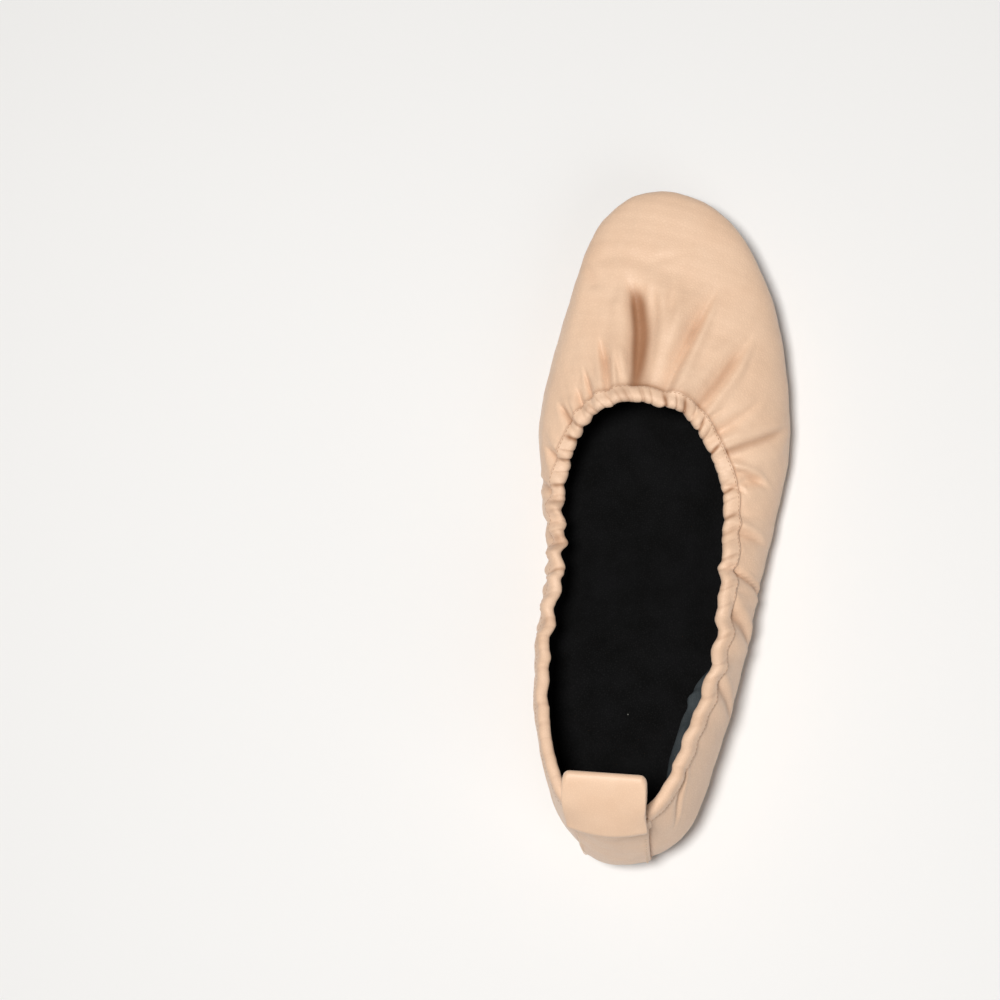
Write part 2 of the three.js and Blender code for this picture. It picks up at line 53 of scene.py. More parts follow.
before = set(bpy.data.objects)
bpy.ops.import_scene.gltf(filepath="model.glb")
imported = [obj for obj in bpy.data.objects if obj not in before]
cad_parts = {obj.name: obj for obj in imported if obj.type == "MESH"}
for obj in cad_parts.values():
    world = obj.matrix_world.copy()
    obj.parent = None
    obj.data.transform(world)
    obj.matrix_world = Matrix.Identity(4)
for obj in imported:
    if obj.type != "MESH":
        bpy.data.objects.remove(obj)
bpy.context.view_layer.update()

MM = 0.001
SHOE_BODY = "slipper"

# ---- Guide lines of the wall --------------------------------------------------------------------
# Station by station round the foot, from the heel's centre by the outer side to the toe and back by
# the inner side: feather edge (x, y), low handle, high handle and topline, in millimetres. At each
# station the wall is one curve from the feather edge, drawn by the two handles, up to the topline.

STATIONS = [
    ((4, 9), (4, -9, 12), (4, 5, 38), (4, 11.5, 61)),
    ((21, 16), (33, 5, 13), (26, 14, 38), (21.5, 21.5, 58)),
    ((33, 45), (44.5, 45, 14), (38, 45, 38), (31, 45, 51)),
    ((39, 75), (51, 75, 14), (44, 75, 33), (38.5, 75, 41.5)),
    ((43, 105), (57, 105, 13), (47, 105, 29), (39.5, 105, 35.5)),
    ((50.5, 135), (62, 135, 13), (50, 135, 31), (38.5, 134, 33)),
    ((53.5, 163), (66, 162, 21), (46, 157, 38), (32, 151, 37)),
    ((46, 205), (59, 210, 30), (38, 187, 35), (23, 163.5, 41.5)),
    ((27.5, 236), (40, 249, 34), (21, 200, 31), (12.5, 167.2, 44.5)),
    ((5, 246.5), (6, 259, 36), (4, 202, 30), (2.5, 169.3, 45.5)),
    ((-12.5, 236), (-21.3, 247, 33), (-14, 200, 31), (-8, 166.6, 44.5)),
    ((-23, 208), (-30.9, 210, 29), (-26, 187, 35), (-17, 160.5, 41)),
    ((-31.5, 163), (-39.4, 163, 20), (-34, 156, 36), (-23.2, 147.5, 36.5)),
    ((-27.5, 135), (-35.7, 135, 13), (-32, 134, 31), (-26, 131, 33)),
    ((-19.5, 105), (-30, 105, 12), (-30, 105, 29), (-24.5, 105, 35.5)),
    ((-21, 75), (-34.5, 75, 14), (-30.5, 75, 33), (-26.5, 75, 41.5)),
    ((-20.5, 45), (-31, 45, 14), (-27, 45, 38), (-23, 45, 51)),
    ((-10, 16), (-18, 6.5, 13), (-15, 14, 38), (-13.5, 21.5, 58)),
]
STATION_COUNT = len(STATIONS)
TOE_STATION = 9

# Heights and layers, in millimetres
GAP = 0.3
LIFT_HEIGHT = 3.9
OUTSOLE_THICKNESS = 3.6
RAMP_START_Y, TREAD_START_Y, TREAD_END_Y, TOE_Y = 72, 126, 165, 248
TOE_SPRING, TOE_SPRING_POWER = 17, 1.7
NAPPA_THICKNESS = 1.2
LINING_THICKNESS = 0.6
STIFFENER_THICKNESS = 0.8
LASTING_MARGIN = 11
LIFT_BREAST_Y, LIFT_SPLIT_Y = 67, 28.6
SOCK_INSET = 5.2
SOCK_BASE, SOCK_THICKNESS = 6.0, 0.8
FOAM_BASE, FOAM_THICKNESS = 3.7, 2.0
LINING_JOINT, JOINT_GAP = 4.6, 0.01
BACKSTAY_FOOT_WIDTH, BACKSTAY_TOP_WIDTH = 23, 26

# Creases that run over the upper: points as (station, share of the wall's height), then depth,
# half width and height of the ridges beside it in millimetres, how far along it fades in, and how
# much steeper its bank towards the inner side of the foot is than the other.
CREASES = [
    ([(9.44, 0.60), (9.28, 0.67), (9.14, 0.78), (9.08, 0.90), (9.14, 1.0)], 4.0, 4.4, 1.3, 0.35, 0.3),
    ([(10.10, 0.76), (9.99, 0.88), (9.93, 1.0)], 2.1, 1.8, 0.6, 0.5, 0.3),
    ([(9.70, 0.82), (9.60, 0.92), (9.54, 1.0)], 1.0, 1.3, 0.4, 0.5, 0.2),
    ([(9.00, 0.60), (8.78, 0.76), (8.64, 1.0)], 0.5, 1.7, 0.35, 0.4, 0.0),
    ([(8.66, 0.58), (8.50, 0.74), (8.38, 1.0)], 0.45, 1.7, 0.35, 0.4, 0.0),
    ([(7.86, 0.54), (7.93, 0.70), (7.99, 0.82), (8.09, 1.0)], 2.4, 2.6, 1.4, 0.5, -0.35),
    ([(7.08, 0.52), (7.02, 0.68), (6.97, 0.80), (6.93, 1.0)], 1.7, 2.2, 1.2, 0.5, -0.3),
    ([(10.66, 0.82), (10.55, 1.0)], 1.3, 1.1, 0.4, 0.5, 0.2),
    ([(11.00, 0.86), (10.98, 1.0)], 0.9, 1.0, 0.3, 0.5, 0.0),
    ([(11.54, 0.74), (11.49, 0.88), (11.45, 1.0)], 1.8, 1.4, 0.6, 0.5, 0.2),
    ([(12.22, 0.66), (12.28, 0.84), (12.34, 1.0)], 1.5, 1.6, 0.6, 0.5, 0.0),
    ([(6.06, 0.24), (5.98, 0.50), (5.90, 0.78), (5.82, 1.0)], 1.7, 2.3, 0.8, 0.4, 0.3),
    ([(6.40, 0.55), (6.32, 0.76), (6.24, 1.0)], 0.9, 1.6, 0.5, 0.5, 0.0),
    ([(5.14, 0.58), (5.32, 0.80), (5.50, 1.0)], 1.5, 1.6, 0.8, 0.4, 0.3),
    ([(5.05, 0.84), (5.10, 0.92), (5.16, 1.0)], 1.0, 0.9, 0.4, 0.4, 0.0),
    ([(4.40, 0.46), (4.49, 0.76), (4.56, 1.0)], 1.3, 1.5, 0.6, 0.4, 0.3),
    ([(3.80, 0.26), (3.93, 0.56), (4.02, 0.80), (4.10, 0.98)], 1.7, 1.1, 0.6, 0.2, 0.5),
    ([(3.14, 0.30), (3.38, 0.62), (3.60, 0.95)], 1.5, 2.4, 0.8, 0.4, 0.2),
    ([(0.92, 0.66), (1.22, 0.84), (1.62, 0.98)], 0.9, 1.2, 0.3, 0.4, 0.3),
    ([(2.26, 0.36), (2.50, 0.66), (2.74, 0.96)], 1.1, 2.0, 0.6, 0.4, 0.2),
    ([(13.18, 0.20), (13.42, 0.52), (13.58, 0.78), (13.66, 1.0)], 1.7, 2.1, 0.5, 0.4, 0.2),
    ([(14.03, 0.38), (14.18, 0.72), (14.26, 1.0)], 1.5, 1.6, 0.6, 0.4, 0.0),
    ([(12.84, 0.32), (12.92, 0.66), (13.02, 1.0)], 1.5, 1.7, 0.6, 0.4, 0.0),
    ([(14.78, 0.44), (14.86, 0.72), (14.92, 1.0)], 1.0, 1.6, 0.5, 0.4, 0.0),
    ([(17.30, 0.12), (16.75, 0.48), (16.20, 0.92)], 0.8, 1.6, 0.5, 0.3, 0.2),
    ([(16.80, 0.10), (16.30, 0.42), (15.75, 0.84)], 0.7, 1.6, 0.4, 0.3, 0.2),
    ([(10.62, 0.26), (10.32, 0.42), (10.12, 0.56)], 0.45, 1.6, 0.15, 0.4, 0.0),
    ([(8.40, 0.50), (9.06, 0.56), (9.90, 0.49)], 0.22, 1.8, 0.15, 0.3, 0.0),
]

CREASE_POINTS, CREASE_SMOOTHINGS = 80, 17

# How strongly the elastic gathers the leather at each station, from 0 to 1
GATHER_STATIONS = [0, 1.2, 2, 3, 4, 5, 6, 7.6, 9, 10, 12, 13, 14, 15, 16, 16.8, 18]
GATHER_STRENGTH = [
    0.1, 0.15, 0.35, 0.55, 0.85, 1, 0.95, 0.65, 0.4, 0.5, 0.85, 0.95, 0.9, 0.65, 0.35, 0.15, 0.1,
]


# ---- The wall's surface -------------------------------------------------------------------------


def ring_curve(points, station):
    """Points on the closed smooth curve through one point of every station."""
    points = np.array(points, float)
    count = len(points)
    station = np.asarray(station, float)
    here = np.floor(station).astype(int)
    t = (station - here)[..., None]
    before, start = points[(here - 1) % count], points[here % count]
    end, after = points[(here + 1) % count], points[(here + 2) % count]
    leave, arrive = (end - before) / 2, (after - start) / 2
    cubic = 2 * start - 2 * end + leave + arrive
    square = -3 * start + 3 * end - 2 * leave - arrive
    return cubic * t**3 + square * t**2 + leave * t + start


def smoothstep(value, low, high):
    t = np.clip((value - low) / (high - low), 0, 1)
    return t * t * (3 - 2 * t)


def tread_height(y):
    """Height of the outsole's underside, in millimetres."""
    ramp = 1 - smoothstep(y, RAMP_START_Y, TREAD_START_Y)
    spring = np.maximum(0, (y - TREAD_END_Y) / (TOE_Y - TREAD_END_Y)) ** TOE_SPRING_POWER
    return (LIFT_HEIGHT + GAP) * ramp + TOE_SPRING * spring


def above_outsole(y, height):
    return tread_height(y) + OUTSOLE_THICKNESS + height


FEATHER = [(*feather, 0) for feather, low, high, top in STATIONS]
LOW = [low for feather, low, high, top in STATIONS]
HIGH = [high for feather, low, high, top in STATIONS]
TOP = [top for feather, low, high, top in STATIONS]


def wall_mm(station, share):
    """The upper's plain outer face in millimetres: share 0 is the feather edge, 1 the topline."""
    start = ring_curve(FEATHER, station)
    start[..., 2] = above_outsole(start[..., 1], GAP)
    low, high, top = (ring_curve(line, station) for line in (LOW, HIGH, TOP))
    h = np.asarray(share, float)[..., None]
    rest = 1 - h
    return rest**3 * start + 3 * rest**2 * h * low + 3 * rest * h**2 * high + h**3 * top


def wall_directions(station, share):
    """Unit directions at points of the wall: up along it, and out of the shoe."""
    step = 0.01
    up = wall_mm(station, np.minimum(1, share + step)) - wall_mm(station, np.maximum(0, share - step))
    along = wall_mm(station + step, share) - wall_mm(station - step, share)
    up = up / np.linalg.norm(up, axis=-1, keepdims=True)
    out = np.cross(along, up)
    return up, out / np.linalg.norm(out, axis=-1, keepdims=True)


def frame_shift():
    """Millimetres from the guide lines' axes to the frame's, read off the upper's packed box."""
    station, share = np.meshgrid(
        np.arange(0, STATION_COUNT, 0.25),
        [0, 0.08, 0.18, 0.3, 0.42, 0.54, 0.66, 0.76, 0.86, 0.94, 1],
        indexing="ij",
    )
    points = wall_mm(station, share).reshape(-1, 3)
    low, high = (np.array(corner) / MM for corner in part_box("upper"))
    shift = low - points.min(0)
    if np.abs(points.max(0) + shift - high).max() > 0.5:
        raise RuntimeError("the guide lines no longer fit the upper of the packed frame")
    return shift


SHIFT = frame_shift()


def to_frame(points_mm):
    """Points from millimetres on the guide lines' axes to metres in the frame."""
    return (np.asarray(points_mm) + SHIFT) * MM


def share_below_top(station, drop):
    """The share of the wall that lies `drop` millimetres below the topline."""
    handle = np.linalg.norm(ring_curve(TOP, station) - ring_curve(HIGH, station), axis=-1)
    return 1 - drop / (3 * handle)


# ---- Relief of the leather ----------------------------------------------------------------------

ARC_STATIONS = np.linspace(-STATION_COUNT, 2 * STATION_COUNT, 3 * 360 + 1)
_topline = ring_curve(TOP, ARC_STATIONS)
ARC_LENGTHS = np.concatenate([[0], np.cumsum(np.linalg.norm(np.diff(_topline, axis=0), axis=1))])
TOPLINE_LENGTH = float(ARC_LENGTHS[-1] / 3)


def topline_arc(station):
    """Length along the topline from the heel's centre, in millimetres."""
    return np.interp(station, ARC_STATIONS, ARC_LENGTHS)


def swell(arc, pitch, seed):
    """Round puffs with tight valleys between them along the topline, from 0 to 1 and never even."""
    turns = round(TOPLINE_LENGTH / pitch)
    turn = 2 * math.pi * arc / TOPLINE_LENGTH
    drift = 0.9 * np.sin(3 * turn + seed) + 0.7 * np.sin(7 * turn + 2.3 * seed)
    drift = drift + 0.5 * np.sin(13 * turn + 1.7 * seed) + 0.35 * np.sin(29 * turn + 0.6 * seed)
    wave = np.abs(np.cos(turns * turn / 2 + drift))
    size = 0.72 + 0.28 * np.sin(11 * turn + 3.1 * seed) * np.sin(5 * turn + seed)
    return (1 - (1 - wave) ** 1.7) * size


def swing(arc, pitch, seed):
    """A smooth, never quite even wave along the topline, from -1 to 1."""
    turn = 2 * math.pi * arc / TOPLINE_LENGTH
    drift = 1.1 * np.sin(3 * turn + seed) + 0.8 * np.sin(7 * turn + 2.3 * seed)
    return np.sin(round(TOPLINE_LENGTH / pitch) * turn + drift)


def gather(station, below):
    """Puckers that the elastic draws into the leather, `below` millimetres under the topline."""
    arc = topline_arc(station)
    strength = np.interp(station % STATION_COUNT, GATHER_STATIONS, GATHER_STRENGTH)
    lean = arc + 0.25 * below * np.sin(2 * math.pi * arc / 61)
    hidden = 0.3 + 0.7 * smoothstep(below, 1.5, 4.5)
    reach = np.maximum(0, below - 4)
    fine = (swell(lean, 4.9, 1.0) - 0.55) * 0.8 * np.exp(-reach / 3.0)
    middle = (swell(lean, 9.5, 2.0) - 0.55) * 1.3 * np.exp(-reach / 7.0)
    broad = (swell(lean, 21.0, 3.0) - 0.55) * 1.3 * np.exp(-reach / 17.0)
    return strength * hidden * (fine + middle + broad)


def sway(station):
    """How far the slack topline swings in and out of its plain line, in millimetres."""
    arc = topline_arc(station)
    round_foot = station % STATION_COUNT
    inner = np.interp(round_foot, [11.5, 12.5, 13, 14.5, 15.3, 16], [0.35, 0.9, 1.3, 1.3, 0.5, 0])
    outer = np.interp(round_foot, [0.6, 1.5, 3, 5.2, 6, 7], [0, 0.3, 0.9, 0.9, 0.45, 0.35])
    amount = np.where(round_foot > TOE_STATION, inner, outer)
    return amount * (0.75 * swing(arc, 10.5, 6.0) + 0.4 * swing(arc, 17.0, 7.5))


def crease_line(points):
    """A crease's points in millimetres, closely spaced, how far along it they lie and their stations."""
    knots = np.array(points, float)
    along = np.linspace(0, len(knots) - 1, CREASE_POINTS)
    spread = [np.interp(along, range(len(knots)), knots[:, i]) for i in (0, 1)]
    kernel = np.array([0.25, 0.5, 0.25])
    for _ in range(CREASE_SMOOTHINGS):
        for line in spread:
            line[1:-1] = np.convolve(line, kernel, "valid")
    return wall_mm(spread[0], spread[1]), along / along[-1], spread[0]


def crease_depths(station, points):
    """Outward movement in millimetres that the creases give to points of the plain wall."""
    flat = points.reshape(-1, 3)
    stations = station.ravel() % STATION_COUNT
    moved = np.zeros(len(flat))
    for knots, depth, width, ridge, fade, steep in CREASES:
        line, along, spots = crease_line(knots)
        reach = 7.5 * width
        near = np.all((flat > line.min(0) - reach) & (flat < line.max(0) + reach), axis=1)
        if not near.any():
            continue
        gaps = np.linalg.norm(flat[near][:, None, :] - line[None], axis=2)
        closest = gaps.argmin(axis=1)
        gap = gaps[np.arange(len(gaps)), closest]
        strength = smoothstep(along[closest], -0.02, fade)
        side = np.tanh((stations[near] - spots[closest]) * 10)
        half = width * (0.4 + 0.35 * strength + 0.4 * along[closest]) * (1 - steep * side)
        valley = np.exp(-((gap / half) ** 2))
        banks = np.exp(-(((gap - 2.3 * half) / (1.4 * half)) ** 2))
        deepen = 0.85 + 0.3 * along[closest]
        moved[near] += strength * (ridge * banks - deepen * depth * valley)
    return moved.reshape(points.shape[:-1])


def undulation(points):
    """The slight unevenness that soft leather keeps off the last, in millimetres."""
    x, y, z = np.moveaxis(points, -1, 0)
    soft = np.sin(0.31 * x + 0.17 * y + 0.23 * z) * np.sin(0.13 * x - 0.27 * y + 0.19 * z + 1)
    fine = np.sin(0.71 * x + 0.53 * y - 0.41 * z + 2) * np.sin(0.47 * x - 0.67 * y + 0.59 * z)
    return 0.16 * soft + 0.06 * fine


def relief(station, share):
    """How far the leather stands out from the plain wall, in millimetres."""
    station, share = np.broadcast_arrays(station, share)
    points = wall_mm(station, share)
    handle = np.linalg.norm(ring_curve(TOP, station) - ring_curve(HIGH, station), axis=-1)
    below = (1 - share) * 3 * handle
    sewn = 0.42 + 0.58 * smoothstep(below, 0.5, 4.0)
    moved = gather(station, below) + sewn * crease_depths(station, points) + undulation(points)
    moved = moved + sway(station) * smoothstep(share, 0.66, 1.0)
    return moved * smoothstep(share, 0.0, 0.12)


def wall_point(station, share, depth=0.0, rise=0.0, follow=1.0):
    """Frame points `depth` millimetres into the creased wall and `rise` further up along it."""
    station, share = np.broadcast_arrays(np.asarray(station, float), np.asarray(share, float))
    up, out = wall_directions(station, share)
    moved = follow * relief(station, share) - depth
    return to_frame(wall_mm(station, share) + out * moved[..., None] + up * np.asarray(rise)[..., None])


def topline_point(station, out, rise):
    """Frame points `out` millimetres off the wall and `rise` above the topline, or below it if < 0."""
    station, out, rise = np.broadcast_arrays(station, out, rise)
    share = np.minimum(1, share_below_top(station, np.maximum(0, -rise)))
    return wall_point(station, share, -out, np.maximum(0, rise))


# ---- Outlines of the bottom ---------------------------------------------------------------------


def feather_outline(station, inset):
    """The feather edge in plan, `inset` millimetres inwards: x and y in millimetres."""
    step = 0.02
    along = ring_curve(FEATHER, station + step) - ring_curve(FEATHER, station - step)
    inwards = np.stack([-along[..., 1], along[..., 0]], axis=-1)
    inwards = inwards / np.linalg.norm(inwards, axis=-1, keepdims=True)
    return ring_curve(FEATHER, station)[..., :2] + inwards * np.asarray(inset)[..., None]


def sock_outline(count):
    """The sock's edge, where it meets the lining all round: x and y in millimetres."""
    station = np.arange(count) * STATION_COUNT / count
    low, high = np.zeros(count), np.full(count, 0.6)
    for _ in range(30):
        share = (low + high) / 2
        point = wall_mm(station, share)
        under = point[:, 2] < above_outsole(point[:, 1], SOCK_BASE + SOCK_THICKNESS / 2)
        low, high = np.where(under, share, low), np.where(under, high, share)
    depth = lining_depth(share) + LINING_THICKNESS + 0.15
    _, out = wall_directions(station, share)
    return (point - out * depth[:, None])[:, :2]


def station_at_y(y, inset, side):
    """Station on the outer (+1) or inner (-1) side where an inset outline crosses y."""
    low, high = 0.0, float(TOE_STATION)
    for _ in range(40):
        middle = (low + high) / 2
        if feather_outline(np.array(side * middle), inset)[1] < y:
            low = middle
        else:
            high = middle
    return side * low


def whole_outline(inset, count):
    """The closed outline of a bottom layer, from the heel's centre by the outer side."""
    return feather_outline(np.arange(count) * STATION_COUNT / count, inset)


def cut_line(start, end, count, bow=0.0):
    """Points from start to end, without the first, that bow forwards in the middle."""
    share = np.linspace(0, 1, count + 1)[1:, None]
    return start + (end - start) * share + np.array([0, bow]) * np.sin(math.pi * share)


def lift_outline(inset, from_y, to_y, count, cut=12):
    """The closed outline of a part of the heel lift. It starts in the middle of its back edge."""
    sides = []
    for side in (1, -1):
        start = 0.0 if from_y is None else station_at_y(from_y, inset, side)
        end = station_at_y(to_y, inset, side)
        sides.append(feather_outline(np.linspace(start, end, count + 1), inset))
    outer, inner = sides
    breast = (outer[-1] + inner[-1]) / 2
    halves = []
    for side in (outer, inner):
        back = (outer[0] + inner[0]) / 2
        half = [back[None]] if from_y is None else [back[None], cut_line(back, side[0], cut)]
        half += [side[1:], cut_line(side[-1], breast, cut)]
        halves.append(np.concatenate(half))
    return np.concatenate([halves[0], halves[1][-2:0:-1]])


# ---- Meshes -------------------------------------------------------------------------------------


def turned_out(points, faces):
    """The faces, turned over if they point into the solid."""
    volume = 0.0
    for face in faces:
        a, b, c = (points[face[..., i]] for i in range(3))
        volume += np.einsum("ij,ij->", a, np.cross(b, c))
        if face.shape[1] == 4:
            d = points[face[:, 3]]
            volume += np.einsum("ij,ij->", a, np.cross(c, d))
    return [face[:, ::-1] for face in faces] if volume < 0 else faces


def make_mesh(name, points, faces):
    """A mesh from points and arrays of quads and triangles, shaded smooth and facing outwards."""
    faces = turned_out(points, [face for face in faces if len(face)])
    mesh = bpy.data.meshes.new(name)
    mesh.from_pydata(points.tolist(), [], [f for face in faces for f in face.tolist()])
    mesh.validate()
    mesh.shade_smooth()
    return mesh


def loft(sections, ring):
    """Points and quads of a solid drawn through like closed sections, [row, point, xyz].
    The row closes on itself when `ring` is true; otherwise both end sections are filled."""
    rows, size = sections.shape[:2]
    row = np.arange(rows if ring else rows - 1)[:, None]
    column = np.arange(size)[None]
    after, following = (column + 1) % size, (row + 1) % rows
    here, below = row * size, following * size
    corners = [here + column, here + after, below + after, below + column]
    quads = np.stack([np.broadcast_to(c, (len(row), size)) for c in corners], axis=-1).reshape(-1, 4)
    if ring:
        return sections.reshape(-1, 3), [quads]
    k = np.arange(size // 2 - 1)
    cap = np.stack([k, size - 1 - k, size - 2 - k, k + 1], axis=1)
    end = (rows - 1) * size + cap[:, ::-1]
    return sections.reshape(-1, 3), [quads, cap, end]


def inset_outline(outline, inset):
    """A closed plan outline moved `inset` millimetres inwards, corner by corner."""
    before, after = np.roll(outline, 1, axis=0), np.roll(outline, -1, axis=0)
    legs = [outline - before, after - outline]
    lengths = [np.linalg.norm(leg, axis=1)[:, None] for leg in legs]
    normals = [np.stack([-leg[:, 1], leg[:, 0]], 1) / length for leg, length in zip(legs, lengths)]
    bisector = normals[0] + normals[1]
    bisector = bisector / np.linalg.norm(bisector, axis=1)[:, None]
    stretch = np.maximum(0.6, np.einsum("ij,ij->i", bisector, normals[0]))
    return outline + bisector * (inset / stretch)[:, None]


def slab(outline, low, high, edge, strips):
    """A sheet between two heights with rounded edges: `low` and `high` give z from (x, y)."""
    count = len(outline)
    turns = np.linspace(0, math.pi / 2, 5)
    rim = [(edge * (1 - math.sin(t)), low, edge * (1 - math.cos(t))) for t in turns]
    rim += [(edge * (1 - math.cos(t)), high, -edge * (1 - math.sin(t))) for t in turns]
    loops = []
    for inset, surface, rise in rim:
        plan = inset_outline(outline, np.full(count, inset))
        loops.append(np.column_stack([plan, surface(plan[:, 0], plan[:, 1]) + rise]))
    points = [np.concatenate(loops)]
    i = np.arange(count)
    faces = []
    for level in range(len(loops) - 1):
        a, b = level * count, (level + 1) * count
        faces.append(np.stack([a + i, a + (i + 1) % count, b + (i + 1) % count, b + i], 1))
    for level, surface, turned in ((0, low, True), (len(loops) - 1, high, False)):
        used = sum(map(len, points))
        made, quads, fans = fill_across(loops[level], level * count, surface, strips, used)
        points.append(made)
        faces += [quads[:, ::-1] if turned else quads, fans[:, ::-1] if turned else fans]
    return to_frame(np.concatenate(points)), faces


def fill_across(loop, first, surface, strips, start):
    """Rows of quads across a loop, which pair each point with the one opposite it."""
    count = len(loop)
    rows = np.arange(1, count // 2)
    share = np.linspace(0, 1, strips + 1)[None, 1:-1, None]
    right, left = loop[rows][:, None], loop[count - rows][:, None]
    inner = right + (left - right) * share
    inner[..., 2] = surface(inner[..., 0], inner[..., 1])
    ids = start + np.arange(inner.shape[0] * inner.shape[1]).reshape(inner.shape[:2])
    lines = np.column_stack([first + rows, ids, first + count - rows])
    quads = np.stack([lines[:-1, :-1], lines[1:, :-1], lines[1:, 1:], lines[:-1, 1:]], -1).reshape(-1, 4)
    heel = np.full(strips, first)
    toe = np.full(strips, first + count // 2)
    fans = np.concatenate([
        np.stack([heel, lines[0, :-1], lines[0, 1:]], 1),
        np.stack([toe, lines[-1, 1:], lines[-1, :-1]], 1),
    ])
    return inner.reshape(-1, 3), quads, fans


def add_piece(name, mesh, slot, *nodes, body=SHOE_BODY, material=None):
    """Shows a finished mesh in place of CAD nodes. With no body, it is left without a parent."""
    piece = bpy.data.objects.new(name, mesh)
    bpy.context.scene.collection.objects.link(piece)
    mesh.materials.clear()
    mesh.materials.append(material or finish(slot))
    if body:
        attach(piece, body)
    if nodes:
        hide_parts(*nodes)
    return piece


def set_attribute(mesh, name, values):
    attribute = mesh.attributes.new(name, "FLOAT", "POINT")
    attribute.data.foreach_set("value", np.asarray(values, np.float32).ravel())


# ---- Effects that several materials share -------------------------------------------------------


class Tree:
    """Shorthand for building a shader or geometry node tree."""

    def __init__(self, tree):
        self.tree = tree
        self.nodes = tree.nodes
        self.column = 0

    def add(self, kind, settings=None, **inputs):
        node = self.nodes.new(kind)
        node.location = (self.column * 180, 0)
        self.column += 1
        for key, value in (settings or {}).items():
            setattr(node, key, value)
        for key, value in inputs.items():
            self.feed(node, key.replace("_", " "), value)
        return node

    def feed(self, node, key, value):
        socket = node.inputs[int(key[1:])] if key[0] == "i" and key[1:].isdigit() else node.inputs[key]
        if isinstance(value, bpy.types.NodeSocket):
            self.tree.links.new(value, socket)
        else:
            socket.default_value = value

    def math(self, operation, a, b=None, clamp=False):
        node = self.add("ShaderNodeMath", {"operation": operation, "use_clamp": clamp}, i0=a)
        if b is not None:
            self.feed(node, "i1", b)
        return node.outputs[0]

    def span(self, value, low, high, to_low=0.0, to_high=1.0):
        node = self.add("ShaderNodeMapRange", {"interpolation_type": "SMOOTHSTEP"}, Value=value)
        keys = ("From Min", "From Max", "To Min", "To Max")
        for key, number in zip(keys, (low, high, to_low, to_high)):
            self.feed(node, key, number)
        return node.outputs[0]

    def noise(self, vector, scale, detail=2.0, roughness=0.5):
        node = self.add("ShaderNodeTexNoise", None, Vector=vector, Detail=detail, Roughness=roughness)
        self.feed(node, "Scale", scale)
        return node.outputs[0]

    def mix(self, factor, a, b, blend="MIX"):
        node = self.add("ShaderNodeMix", {"data_type": "RGBA", "blend_type": blend}, i0=factor)
        self.feed(node, "i6", a)
        self.feed(node, "i7", b)
        return node.outputs[2]


def new_group(name, inputs, outputs):
    """An empty shader group with named sockets, and its shorthand, entry and exit."""
    group = bpy.data.node_groups.new(name, "ShaderNodeTree")
    for socket, kind, default in inputs:
        made = group.interface.new_socket(socket, in_out="INPUT", socket_type=kind)
        if default is not None:
            made.default_value = default
    for socket in outputs:
        group.interface.new_socket(socket, in_out="OUTPUT", socket_type="NodeSocketFloat")
    tree = Tree(group)
    return group, tree, tree.add("NodeGroupInput"), tree.add("NodeGroupOutput")


FLOAT, VECTOR = "NodeSocketFloat", "NodeSocketVector"


def leather_grain():
    """Pebbled leather grain: soft cells with fine pores, drawn out by a few slanting wrinkles."""
    inputs = [("Vector", VECTOR, None), ("Cell", FLOAT, 0.001), ("Wrinkle", FLOAT, 0.4)]
    group, t, entry, leave = new_group("leather grain", inputs, ["Height", "Tone", "Pores"])
    density = t.math("DIVIDE", 1.0, entry.outputs["Cell"])
    where = entry.outputs["Vector"]
    bend = t.add("ShaderNodeTexNoise", None, Vector=where, Detail=2.0)
    t.feed(bend, "Scale", t.math("MULTIPLY", density, 0.45))
    push = t.add("ShaderNodeVectorMath", {"operation": "SCALE"}, i0=bend.outputs["Color"])
    t.feed(push, "Scale", t.math("MULTIPLY", entry.outputs["Cell"], 0.9))
    moved = t.add("ShaderNodeVectorMath", {"operation": "ADD"}, i0=where, i1=push.outputs[0]).outputs[0]
    cells = t.add("ShaderNodeTexVoronoi", {"feature": "DISTANCE_TO_EDGE"}, Vector=moved)
    t.feed(cells, "Scale", density)
    pebble = t.span(cells.outputs["Distance"], 0.0, 0.32)
    fine = t.noise(where, t.math("MULTIPLY", density, 3.2), 3.0, 0.6)
    turn, squeeze = (0.3, 0.5, 0.7), (1.0, 0.28, 0.6)
    drawn = t.add("ShaderNodeMapping", None, Vector=where, Rotation=turn, Scale=squeeze)
    lines = t.noise(drawn.outputs[0], t.math("MULTIPLY", density, 0.5), 3.0, 0.55)
    folds = t.math("MULTIPLY", t.span(lines, 0.35, 0.7), entry.outputs["Wrinkle"])
    height = t.math("ADD", t.math("MULTIPLY", pebble, 0.55), t.math("MULTIPLY", fine, 0.45))
    tone = t.noise(where, t.math("MULTIPLY", density, 0.06), 4.0, 0.6)
    t.feed(leave, "Height", t.math("ADD", height, folds))
    t.feed(leave, "Tone", t.span(tone, 0.25, 0.75))
    t.feed(leave, "Pores", t.math("SUBTRACT", 1.0, pebble))
    return group


